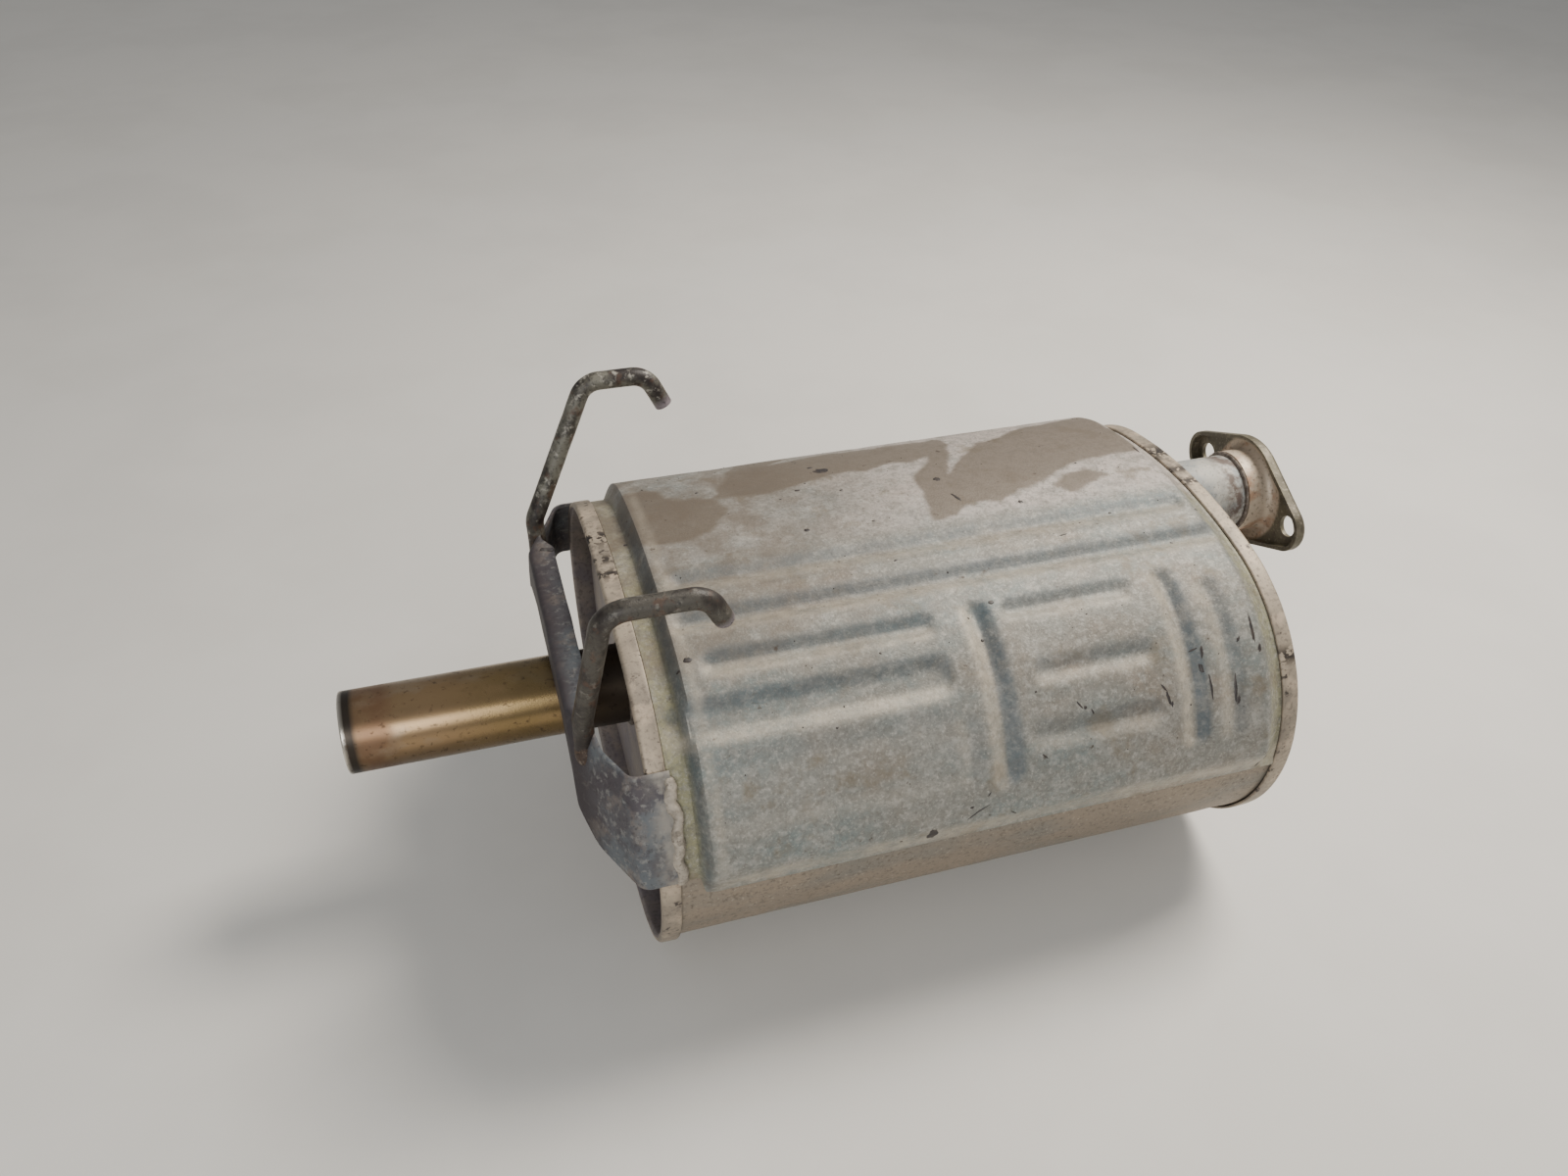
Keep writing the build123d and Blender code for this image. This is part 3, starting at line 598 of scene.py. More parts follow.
@dataclass(frozen=True)
class Metal:
    """A weathered metal: a base colour, layers of stain and scale, and a grain.

    The grain is relief with cells of about a millimetre.  A sheet's real tooth is finer than
    that and too fine to show, so it is drawn coarser.
    """

    name: str
    base: str
    layers: tuple[Layer, ...]
    metallic: float
    roughness: float
    grain: float = 0.9
    grain_depth: float = 0.05

    def dress(self, *pieces: bpy.types.Object) -> None:
        """Gives the pieces this finish in place of what they had.

        Args:
            pieces: The mesh objects.
        """
        material = self.material()
        for piece in pieces:
            if piece.data.materials:
                for index in range(len(piece.data.materials)):
                    piece.data.materials[index] = material
            else:
                piece.data.materials.append(material)

    def material(self) -> bpy.types.Material:
        """Builds the material, or finds it if it has been built.

        The base colour is the first mix's lower colour.  The roughness is the shader's own
        value unless some layer changes it.

        Returns:
            The material.
        """
        found = bpy.data.materials.get(self.name)
        if found:
            return found
        material = bpy.data.materials.new(self.name)
        material.use_nodes = True
        tree = material.node_tree
        tree.nodes.clear()
        place = add(tree, "ShaderNodeTexCoord").outputs["Object"]
        shader = add(tree, "ShaderNodeBsdfPrincipled", None,
                     {"Metallic": self.metallic, "Roughness": self.roughness})
        below: dict[Any, Any] = {}
        rough: dict[Any, Any] = {}
        for layer in self.layers:
            mask = self.mask(tree, place, layer)
            mixed = add(tree, "ShaderNodeMix", {"data_type": "RGBA"},
                        {6: linear(self.base), 7: linear(layer.colour)}, {0: mask, **below})
            below = {6: mixed.outputs[2]}
            if layer.roughness:
                changed = add(tree, "ShaderNodeMath", {"operation": "MULTIPLY_ADD"},
                              {1: layer.roughness, 2: self.roughness}, {0: mask, **rough})
                rough = {2: changed.outputs[0]}
        grain = add(tree, "ShaderNodeTexNoise", None,
                    {"Scale": 1.0 / (self.grain * MM), "Detail": 3.0}, {"Vector": place})
        relief = add(tree, "ShaderNodeBump", None,
                     {"Strength": 1.0, "Distance": self.grain_depth * MM},
                     {"Height": grain.outputs[0]})
        tree.links.new(below[6], shader.inputs["Base Color"])
        tree.links.new(relief.outputs[0], shader.inputs["Normal"])
        if rough:
            tree.links.new(rough[2], shader.inputs["Roughness"])
        add(tree, "ShaderNodeOutputMaterial", None, None, {"Surface": shader.outputs[0]})
        return material

    @staticmethod
    def mask(tree: bpy.types.NodeTree, place: bpy.types.NodeSocket,
             layer: Layer) -> bpy.types.NodeSocket:
        """Builds a layer's mask.

        Args:
            tree: The material's node tree.
            place: The piece's own coordinates, in metres.
            layer: The layer.

        Returns:
            The output socket with the mask.
        """
        scaled = add(tree, "ShaderNodeMapping", {"vector_type": "POINT"},
                     {"Location": (layer.cell * 0.37, layer.low, layer.high),
                      "Scale": (1.0 / layer.stretch, 1.0, 1.0)}, {"Vector": place})
        noise = add(tree, "ShaderNodeTexNoise", None,
                    {"Scale": 1.0 / (layer.cell * MM), "Detail": layer.detail,
                     "Roughness": 0.6}, {"Vector": scaled.outputs[0]})
        cut = add(tree, "ShaderNodeMapRange", {"clamp": True},
                  {"From Min": layer.low, "From Max": layer.high, "To Max": layer.amount},
                  {"Value": noise.outputs[0]})
        if layer.reach:
            flat = add(tree, "ShaderNodeVectorMath", {"operation": "MULTIPLY"},
                       {1: (0.0, 1.0, 1.0)}, {0: place})
            radius = add(tree, "ShaderNodeVectorMath", {"operation": "LENGTH"}, None,
                         {0: flat.outputs[0]})
            near = add(tree, "ShaderNodeMapRange", {"clamp": True},
                       {"From Min": (layer.reach + 2.0) * MM, "From Max": layer.reach * MM},
                       {"Value": radius.outputs["Value"]})
            return add(tree, "ShaderNodeMath", {"operation": "MULTIPLY"}, None,
                       {0: cut.outputs[0], 1: near.outputs[0]}).outputs[0]
        if not layer.paint:
            return cut.outputs[0]
        painted = add(tree, "ShaderNodeAttribute", {"attribute_name": layer.paint})
        return add(tree, "ShaderNodeMath", {"operation": "MULTIPLY", "use_clamp": True}, None,
                   {0: cut.outputs[0], 1: painted.outputs["Fac"]}).outputs[0]


# Hot-dipped aluminised steel sheet, pressed to its ribs, then years in road salt.  The coating
# has gone matt and mottled, with tan road film towards the outlet, cool grey oxide lower down
# and salt-and-pepper bloom all over.  The real bloom's grains are judged to be finer than a
# millimetre, too fine to show, so it is drawn coarser here, with cells of 1.5 to 2.2 mm.
COVER_STEEL = Metal(
    "weathered_aluminised_cover", "#7D7C75",
    (Layer("#7E7264", 0.75, 75.0, 0.47, 0.60),
     Layer("#6C7877", 0.75, 48.0, 0.45, 0.62, stretch=2.0),
     Layer("#98958D", 0.55, 20.0, 0.50, 0.66),
     Layer("#8E8A6C", 1.00, 40.0, 0.10, 0.45, paint="band"),
     Layer("#AFA59E", 0.85, 20.0, 0.10, 0.45, paint="top"),
     Layer("#726E66", 0.50, 6.5, 0.47, 0.60, detail=8.0),
     Layer("#ACA9A1", 0.40, 4.0, 0.50, 0.64, detail=6.0),
     Layer("#5B5953", 0.42, 2.2, 0.50, 0.64, detail=6.0),
     Layer("#C4BFB5", 0.34, 1.5, 0.54, 0.68, detail=6.0),
     Layer("#6B604E", 0.60, 24.0, 0.58, 0.68),
     Layer("#64584B", 0.72, 22.0, 0.34, 0.60, paint="film", detail=8.0),
     Layer("#655A4D", 0.84, 30.0, 0.02, 0.30, paint="damp", roughness=-0.10),
     # Blue-grey staining mixed with painted shade on the grooves' upper walls and at the outlet
     # step's foot.
     Layer("#3A4851", 0.92, 9.0, 0.16, 0.56, paint="stain_and_shade"),
     # Dust mixed with a painted highlight on the grooves' lower walls; a painted highlight on the
     # outlet step's crest and along the lower hem.
     Layer("#BDB29F", 0.75, 9.0, 0.20, 0.60, paint="pale"),
     Layer("#54524C", 0.30, 1.6, 0.54, 0.66, detail=6.0),
     Layer("#463B31", 0.90, 9.0, 0.67, 0.72, detail=6.0)),
    metallic=0.25, roughness=0.60, grain=1.1, grain_depth=0.15)

# The same hot-dipped sheet, rolled round the body and lock-seamed.  It lies in the cover's
# shade and in the spray, so it is browner, and streaked along its length.  Its bloom is drawn
# coarser than it is, as the cover's is.
SHELL_STEEL = Metal(
    "weathered_aluminised_shell", "#827769",
    (Layer("#8F8170", 0.6, 50.0, 0.42, 0.62, stretch=2.0),
     Layer("#686C69", 0.5, 30.0, 0.48, 0.66, stretch=3.0),
     Layer("#554D44", 0.6, 2.4, 0.52, 0.66),
     Layer("#AEA596", 0.5, 2.0, 0.58, 0.70),
     Layer("#42382F", 0.8, 7.0, 0.66, 0.72, detail=6.0)),
    metallic=0.3, roughness=0.58, grain=1.1, grain_depth=0.08)

# The same sheet, stamped and its edge rolled over the shell.  The rolling crazed the coating,
# which gives cream oxide and dark chips on the rim; the recess is darkened with painted shade.
HEAD_STEEL = Metal(
    "weathered_aluminised_head", "#857B74",
    (Layer("#6B646A", 0.75, 40.0, 0.42, 0.60),
     Layer("#9C8E80", 0.5, 12.0, 0.54, 0.70),
     Layer("#A39684", 1.0, 30.0, 0.02, 0.20, paint="rim"),
     Layer("#857B6E", 0.85, 26.0, 0.42, 0.60, paint="rim"),
     Layer("#BBA994", 0.70, 14.0, 0.52, 0.66, paint="rim"),
     Layer("#3B342F", 0.95, 7.0, 0.63, 0.67, paint="rim", detail=5.0),
     Layer("#231D1A", 1.00, 5.0, 0.47, 0.51, paint="chips", detail=5.0),
     Layer("#463E3A", 0.45, 2.4, 0.52, 0.66),
     # Painted shade, darker deeper into the recess.
     Layer("#4A423D", 0.60, 30.0, 0.25, 0.60, paint="deep")),
    metallic=0.3, roughness=0.56, grain=1.0, grain_depth=0.08)

# Ferritic stainless tube, rolled and seam welded, its end turned in.  Exhaust heat has browned
# and faintly gilded it; the satin of the mill is still half bright between the stains.
TAILPIPE_STEEL = Metal(
    "heat_tinted_stainless", "#927A5C",
    (Layer("#655545", 0.75, 44.0, 0.44, 0.62, stretch=3.0),
     Layer("#968C7F", 0.60, 24.0, 0.50, 0.66, stretch=2.5, roughness=0.12),
     Layer("#7D6A46", 0.75, 36.0, 0.12, 0.48, paint="gold", roughness=-0.05),
     Layer("#755A45", 0.85, 18.0, 0.30, 0.56, paint="tan", roughness=0.1),
     Layer("#34312E", 0.95, 6.0, 0.02, 0.24, paint="tip", roughness=0.08),
     # A painted highlight along the rolled lip.
     Layer("#C9C4BA", 0.95, 6.0, 0.02, 0.20, paint="lip", roughness=-0.15),
     Layer("#3F3228", 0.60, 3.4, 0.58, 0.68, roughness=0.2),
     # Painted shade on the pipe between the bracket and the head.
     Layer("#2D2723", 0.85, 30.0, 0.05, 0.30, paint="shade_behind_bracket", roughness=0.2)),
    metallic=0.92, roughness=0.29, grain=0.8, grain_depth=0.02)

# Aluminised tube, rolled from coated strip: blue-grey and blotched, matt, and stained dark
# where the flange's weld burnt the coating off.
INLET_STEEL = Metal(
    "weathered_aluminised_tube", "#ACA9A0",
    (Layer("#858B8D", 0.65, 16.0, 0.46, 0.60),
     Layer("#C6BFB3", 0.55, 7.0, 0.54, 0.68),
     Layer("#55433A", 0.90, 7.0, 0.38, 0.56, paint="burnt"),
     Layer("#54504A", 0.5, 2.0, 0.54, 0.68)),
    metallic=0.1, roughness=0.60, grain=0.9, grain_depth=0.08)

# Hot-rolled plate, pressed to draw its collar: olive-grey mill scale with a dull sheen, rubbed
# lighter in places, and pale tan on the collar where the weld's heat reached it.
FLANGE_STEEL = Metal(
    "scaled_flange_plate", "#67614F",
    (Layer("#443F34", 0.70, 26.0, 0.44, 0.60),
     Layer("#857C6C", 0.55, 14.0, 0.52, 0.66),
     Layer("#BFAF9B", 0.95, 20.0, 0.10, 0.40, reach=34.0),
     Layer("#9B765B", 0.75, 14.0, 0.50, 0.64, reach=34.0),
     Layer("#3D3730", 0.6, 2.5, 0.54, 0.68),
     Layer("#C0B6A6", 0.4, 2.0, 0.58, 0.70)),
    metallic=0.35, roughness=0.5, grain=0.9, grain_depth=0.06)

# Mild steel plate, pressed and left unpainted: a matt purple-grey heat scale, with blue-grey
# bloom and tan dust over it.
BRACKET_STEEL = Metal(
    "scaled_bracket_steel", "#4A474A",
    (Layer("#575D61", 0.80, 28.0, 0.44, 0.58),
     Layer("#3C3539", 0.75, 20.0, 0.48, 0.62),
     Layer("#756A61", 0.60, 16.0, 0.54, 0.66),
     Layer("#85847F", 0.55, 4.0, 0.54, 0.66, detail=5.0),
     Layer("#2F2B2E", 0.60, 2.4, 0.54, 0.66, detail=5.0),
     # Painted shade over the bar, which lies in shadow.
     Layer("#2B2326", 0.85, 30.0, 0.02, 0.30, paint="bar"),
     Layer("#8E887E", 0.80, 10.0, 0.34, 0.56, paint="foot")),
    metallic=0.0, roughness=0.66, grain=0.9, grain_depth=0.10)

# Cold-drawn bar, bent cold and zinc plated.  The plating has gone, which leaves dull, pitted,
# near-black brown rust with a little pale zinc salt.
ROD_STEEL = Metal(
    "rusted_hanger_bar", "#231B17",
    (Layer("#6E6B60", 0.92, 18.0, 0.36, 0.52, paint="worn"),
     Layer("#1E1612", 0.7, 9.0, 0.52, 0.62),
     Layer("#4C3526", 0.65, 7.0, 0.55, 0.64),
     Layer("#A09B90", 0.80, 5.0, 0.57, 0.66, detail=6.0, paint="worn"),
     Layer("#7E7478", 0.9, 5.0, 0.10, 0.45, paint="tip"),
     Layer("#17120F", 0.65, 1.8, 0.53, 0.66)),
    metallic=0.1, roughness=0.50, grain=0.8, grain_depth=0.16)

# Weld metal, laid by a torch in one run: dull and lumpy, brown with burnt flux.
WELD_METAL = Metal(
    "weld_bead_metal", "#7B7168",
    (Layer("#4C4138", 0.85, 7.0, 0.44, 0.60),
     Layer("#A3978A", 0.6, 3.0, 0.54, 0.68),
     Layer("#332A24", 0.6, 1.6, 0.54, 0.68)),
    metallic=0.3, roughness=0.58, grain=0.7, grain_depth=0.14)

# Weld metal laid over the coated rim: it took up the coating, so it is cream with oxide.
RIM_WELD_METAL = Metal(
    "oxidised_rim_bead", "#9B9285",
    (Layer("#756D62", 0.8, 8.0, 0.46, 0.60),
     Layer("#BBB1A2", 0.6, 4.0, 0.52, 0.66),
     Layer("#4B433A", 0.7, 1.8, 0.56, 0.68)),
    metallic=0.2, roughness=0.62, grain=0.7, grain_depth=0.14)

# Weld metal at the rods' feet, laid hot on bare bar: a rough crust of dark brown oxide.
ROD_WELD_METAL = Metal(
    "burnt_rod_bead", "#41332A",
    (Layer("#5F4C3D", 0.8, 5.0, 0.48, 0.62),
     Layer("#8C8072", 0.7, 3.0, 0.60, 0.70),
     Layer("#1D1613", 0.7, 1.6, 0.52, 0.66)),
    metallic=0.25, roughness=0.6, grain=0.7, grain_depth=0.2)

# Plain cold-rolled sheet, stamped and pierced, inside the casing: matt, dark under soot.
INNER_STEEL = Metal(
    "sooted_inner_steel", "#4A4642",
    (Layer("#2A2725", 0.8, 20.0, 0.42, 0.62),
     Layer("#6B5547", 0.5, 9.0, 0.54, 0.68)),
    metallic=0.4, roughness=0.7, grain=1.0, grain_depth=0.05)

# Road tar thrown up warm and baked on by the exhaust: nearly black and slightly glossy.
ROAD_TAR = Metal(
    "road_tar_specks", "#262120",
    (Layer("#423832", 0.8, 3.0, 0.45, 0.65),),
    metallic=0.0, roughness=0.5, grain=0.6, grain_depth=0.05)


# Matt pale floor paint, rolled on: an even light grey with hardly any grain.
FLOOR_PAINT = Metal(
    "pale_studio_floor", "#D6D3CD",
    (Layer("#CCC9C3", 0.4, 220.0),),
    metallic=0.0, roughness=0.75, grain=3.0, grain_depth=0.01)


def finish_piece(piece: bpy.types.Object, metal: Metal, slot: str, *nodes: str) -> None:
    """Dresses a piece, rides it on the one body and says what it stands for.

    Args:
        piece: The new piece.
        metal: Its finish.
        slot: The record's material slot; not used.
        nodes: CAD nodes that it stands for.
    """
    metal.dress(piece)
    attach(piece, "root")
    if nodes:
        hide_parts(*nodes)
    log.info("%s: %d faces for %s", piece.name, len(piece.data.polygons), nodes or "trim")


# ------------------------------------------------------------------ casing
@dataclass(frozen=True)
class Groove:
    """A groove pressed in the cover: a stadium on the sheet laid flat.

    It runs from one station and girth to another, with a half width, the half width of its
    flat floor and a depth.
    """

    start: float
    end: float
    low: float
    high: float
    half: float
    flat: float
    depth: float

    def press(self, x: Array, girth: Array) -> Array:
        """How deep the groove is at each place.

        The distance is to the nearest point of a straight line from one end to the other.

        Args:
            x: Stations along the body.
            girth: Girths up the front flank.

        Returns:
            Depths, never negative.
        """
        beyond_x = np.maximum(np.maximum(self.start - x, x - self.end), 0.0)
        beyond_girth = np.maximum(np.maximum(self.low - girth, girth - self.high), 0.0)
        return self.depth * bump(np.hypot(beyond_x, beyond_girth), self.half, self.flat)


@dataclass(frozen=True)
class HeatCover:
    """Ribbed sheet over the upper half of the shell."""

    bench: Bench
    oval: Oval
    band_skin: float = -1.5
    standoff: float = 8.0
    sheet: float = 1.0
    outlet_band: float = 10.0
    outlet_step: float = 6.0
    inlet_step: float = 14.0
    band_low: float = 13.0
    skirt: float = 20.0
    corner: float = 0.35
    hem: float = 1.1

    def grooves(self) -> list[Groove]:
        """The pressed pattern on the front flank, from the outlet to the inlet."""
        middle = self.bench.length / 2 + 2.0
        ring = self.bench.length - 72.0
        short_end = middle - 30.0
        right_start = middle + 20.0
        right_end = ring - 26.0
        return [
            Groove(40.0, self.bench.length - 36.0, 189.0, 189.0, 8.5, 0.0, 2.6),
            Groove(34.0, self.bench.length - 28.0, 160.0, 160.0, 9.0, 0.0, 3.4),
            Groove(44.0, short_end, 132.0, 132.0, 8.5, 0.0, 3.2),
            Groove(20.0, short_end, 99.0, 105.0, 9.5, 2.0, 3.4),
            Groove(38.0, short_end - 6.0, 52.0, 74.0, 13.0, 3.0, 1.0),
            Groove(right_start, right_end, 132.0, 132.0, 8.0, 0.0, 2.6),
            Groove(right_start + 8.0, right_end, 94.0, 94.0, 8.5, 0.0, 2.2),
            Groove(right_start, right_end, 60.0, 60.0, 8.5, 0.0, 2.4),
            Groove(middle, middle, 42.0, 134.0, 9.0, 0.0, 4.0),
            Groove(middle - 21.0, middle - 21.0, 46.0, 74.0, 8.0, 0.0, 1.0),
            Groove(ring, ring, 42.0, 134.0, 8.5, 0.0, 3.4),
            Groove(ring + 24.0, ring + 24.0, 42.0, 124.0, 8.5, 0.0, 1.8),
        ]

    def rear_grooves(self) -> list[Groove]:
        """The two ring grooves that the rear flank shares."""
        rings = [groove for groove in self.grooves() if groove.start == groove.end][::2]
        return [replace(groove, high=104.0) for groove in rings]

    def rise(self, x: Array, girth: Array) -> Array:
        """Height of the panel between its bands, from 0 to 1.

        Each margin's lack is a straight ramp; the lacks are joined as the sides of a right
        triangle are, which rounds the panel's corners, and the result is eased.

        Args:
            x: Stations along the body.
            girth: Girths from the nearer lower edge.

        Returns:
            The share of the standoff at each place.
        """
        start = self.bench.rim + self.outlet_band
        end = self.bench.length - self.bench.rim - 1.5
        lacks = [
            1.0 - np.clip((x - start) / self.outlet_step, 0.0, 1.0),
            1.0 - np.clip((end - x) / self.inlet_step, 0.0, 1.0),
            1.0 - np.clip(girth / self.skirt, 0.0, 1.0),
        ]
        power = 2.0
        lack = sum(part**power for part in lacks) ** (1.0 / power)
        share = 1.0 - np.clip(lack, 0.0, 1.0)
        return share * (1.0 - self.corner) + smooth(share) * self.corner

    def surface(self) -> Surface:
        """The cover's outer skin.

        The grid is stations along the body by girths from the front edge over the top to
        the rear edge.  Each point is the rim's section moved out along its normal by the
        skin there: the band's skin, plus the panel's rise, less the grooves, plus dents.

        Returns:
            The skin with its painted values.
        """
        rim, length = self.bench.rim, self.bench.length
        x = stations((rim, 0), (rim + 26.0, 1.0), (length - rim - 22.0, 2.3), (length - rim, 1.2))
        quarter = self.oval.quarter(self.standoff)
        girth = stations((0.0, 0), (30.0, 1.5), (2 * quarter - 30.0, 2.2), (2 * quarter, 1.5))
        across, along = np.meshgrid(girth, x)
        nearest = np.minimum(across, 2 * quarter - across)
        low = self.band_low * (1.0 - smooth((along - rim - self.outlet_band) / 3.0))
        lift = low * np.clip(1.0 - nearest / 60.0, 0.0, 1.0)
        front = across < quarter
        across = across + np.where(front, lift, -lift)
        nearest = nearest + lift
        section, normal = self.oval.section(across, self.standoff)
        section[..., 0] = along
        skin = self.band_skin + (self.standoff - self.band_skin) * self.rise(along, nearest)
        pressed = np.zeros_like(skin)
        for groove in self.grooves():
            pressed = np.maximum(pressed, groove.press(along, across))
        rear = 2 * quarter - across
        for groove in self.rear_grooves():
            pressed = np.maximum(pressed, groove.press(along, rear))
        inside = smooth((self.rise(along, nearest) - 0.55) / 0.45)
        skin = skin - pressed * inside + self.creases(along, across) * inside
        skin = skin + self.hem * bump(nearest, 7.0, 1.0) * smooth((along - 24.0) / 6.0)
        wander = 0.22 * lumps(section, 46.0, 3) + 0.10 * lumps(section, 15.0, 5)
        skin = skin + np.minimum(wander, 0.0) * 2.0 * inside
        points = section + normal * skin[..., None]
        uv = np.stack([along * MM, across * MM], -1)
        return Surface(points, uv=uv, paint=self.painted(along, across, pressed, section))

    def creases(self, x: Array, girth: Array) -> Array:
        """Small bends: a fine ridge above the second long groove, and knocks in the skirt.

        The ridge is a bump across the girth that eases in and out along the body.  The fold,
        the knock and the dimple are bumps of the distance from a point, stretched one way.

        Args:
            x: Stations along the body.
            girth: Girths up the front flank and over.

        Returns:
            Heights, below nothing where the sheet is knocked in.
        """
        ridge = 0.45 * bump(girth - 177.0, 3.2) * smooth((x - 60.0) / 30.0) * smooth(
            (self.bench.length - 30.0 - x) / 30.0)
        fold = -1.0 * bump(np.hypot((x - 258.0) / 3.4, girth - 9.0 - (x - 258.0) * 0.06), 8.0)
        knock = -0.9 * bump(np.hypot(x - 176.0, (girth - 24.0) * 2.0), 14.0)
        dimple = -0.6 * bump(np.hypot(x - 300.0, girth - 16.0), 22.0)
        return ridge + fold + knock + dimple

    def painted(self, x: Array, girth: Array, pressed: Array, section: Array) -> dict[str, Array]:
        """Where stains, painted shade and painted highlights lie.

        A groove's upper wall holds blue-grey staining with painted shade, and its lower wall dust
        with a painted highlight: each is the groove's depth a few millimetres down or up the girth,
        less its depth here.

        Args:
            x: Stations along the body.
            girth: Girths up the front flank and over.
            pressed: The grooves' depth.
            section: Points on the rim's section, for the noise.

        Returns:
            The painted values by name, from 0 to 1.
        """
        quarter = self.oval.quarter(self.standoff)
        shift = 3.6
        dark = np.zeros_like(x)
        light = np.zeros_like(x)
        for groove in self.grooves():
            upright = groove.start == groove.end
            step = (-shift, -shift * 0.2) if upright else (-shift * 0.35, -shift)
            share = min(1.0, groove.depth / 4.2) * (1.25 if upright else 0.85)
            upper = groove.press(x + step[0], girth + step[1]) / groove.depth
            lower = groove.press(x - step[0], girth - step[1]) / groove.depth
            dark = np.maximum(dark, share * np.clip(1.5 * upper - 1.3 * lower, 0.0, 1.0))
            light = np.maximum(light, share * np.clip(1.5 * lower - 1.3 * upper, 0.0, 1.0))
        flank = smooth((214.0 - girth) / 20.0)
        dark = np.clip(dark, 0.0, 1.0) * (0.35 + 0.65 * flank)
        light = np.clip(light, 0.0, 1.0) * flank
        step_line = self.bench.rim + self.outlet_band + self.outlet_step
        # The step's foot gets painted shade with blue-grey staining, its crest a painted highlight.
        foot = bump(x - step_line + 3.0, 5.0, 0.5) * smooth((330.0 - girth) / 90.0)
        crest = bump(x - step_line - 5.0, 5.0) * smooth((330.0 - girth) / 90.0)
        cloud = lumps(section, 30.0, 11)
        top = smooth((girth - 196.0) / 14.0) * smooth((2 * quarter - 40.0 - girth) / 60.0)
        # A painted highlight along the lower margin, where the hem turns down.
        hem = 0.85 * bump(girth - 9.0, 12.0, 3.0) * smooth((x - 28.0) / 6.0)
        light = np.maximum(np.maximum(light, 0.5 * crest), hem)
        return {
            "stain_and_shade": np.maximum(dark, 0.6 * foot) * (0.8 + 0.2 * cloud),
            "pale": light * (0.8 + 0.2 * cloud),
            "top": top * (0.30 + 0.70 * smooth((x - 110.0) / 110.0)),
            "film": smooth((215.0 - x) / 150.0) * smooth((girth - 70.0) / 90.0)
                    * smooth((2 * quarter - 60.0 - girth) / 80.0),
            "band": np.maximum(bump(x - self.bench.rim - 4.0, 9.0, 6.0),
                               0.8 * bump(self.bench.length - self.bench.rim - x, 15.0, 9.0)),
            "damp": self.damp(x, girth) * smooth((2 * quarter - 10.0 - girth) / 60.0),
        }

    def damp(self, x: Array, girth: Array) -> Array:
        """Brown film left by water that lay on the top: outlines given one by one, edges crisp.

        Each outline is a set of straight sides; the value is high where a place is inside
        all the sides of an outline, by more than about a millimetre.

        Args:
            x: Stations along the body.
            girth: Girths up the front flank and over.

        Returns:
            The film's amount.
        """
        middle = self.oval.quarter(self.standoff)
        outlines = (
            ((78, 46), (96, 86), (165, 94), (238, 92), (226, 60), (140, 52), (100, 40)),
            ((238, 96), (242, 72), (221, 33), (209, -8), (194, -12), (200, 28), (212, 50),
             (226, 70)),
            ((222, 34), (262, 70), (300, 88), (352, 100), (350, 24), (320, 27), (290, 18), (262, 1),
             (240, -2), (204, -8), (210, 24)),
            ((276, 1), (286, 11), (306, 13), (318, 6), (302, -2), (286, -5)),
            ((96, 86), (120, 88), (176, 128), (140, 140), (118, 128)),
            ((24, 6), (24, 68), (40, 72), (58, 50), (80, 46), (84, 24), (66, 6)),
        )
        place = np.stack([x, girth, np.zeros_like(x)], -1)
        x = x + 3.0 * lumps(place, 16.0, 13) + 1.2 * lumps(place, 5.0, 15)
        up = girth - middle + 3.0 * lumps(place, 16.0, 17) + 1.2 * lumps(place, 5.0, 19)
        film = np.zeros_like(x)
        for outline in outlines:
            film = np.maximum(film, inside_outline(x, up, outline, 1.5))
        return film


def inside_outline(x: Array, y: Array, outline: Sequence[tuple[float, float]],
                   edge: float) -> Array:
    """One inside a closed outline, easing to nothing across its edge.

    Inside is an odd number of crossings of a ray; the distance is to the nearest side.

    Args:
        x: First coordinates.
        y: Second coordinates.
        outline: The corners.
        edge: Half the width of the eased edge.

    Returns:
        Values from 0 to 1.
    """
    odd = np.zeros(x.shape, bool)
    distance = np.full(x.shape, np.inf)
    for (ax, ay), (bx, by) in zip(outline, (*outline[1:], outline[0])):
        crosses = (ay > y) != (by > y)
        with np.errstate(divide="ignore", invalid="ignore"):
            at = ax + (y - ay) * (bx - ax) / (by - ay)
        odd ^= crosses & (x < at)
        along = ((x - ax) * (bx - ax) + (y - ay) * (by - ay)) / ((bx - ax) ** 2 + (by - ay) ** 2)
        along = np.clip(along, 0.0, 1.0)
        away = np.hypot(x - ax - along * (bx - ax), y - ay - along * (by - ay))
        distance = np.minimum(distance, away)
    return smooth((np.where(odd, distance, -distance) + edge) / (2 * edge))


@dataclass(frozen=True)
class Speck:
    """A fleck of tar on the cover: where it is, how long, how wide and how it is turned."""

    x: float
    girth: float
    length: float
    width: float
    turn: float = 0.0


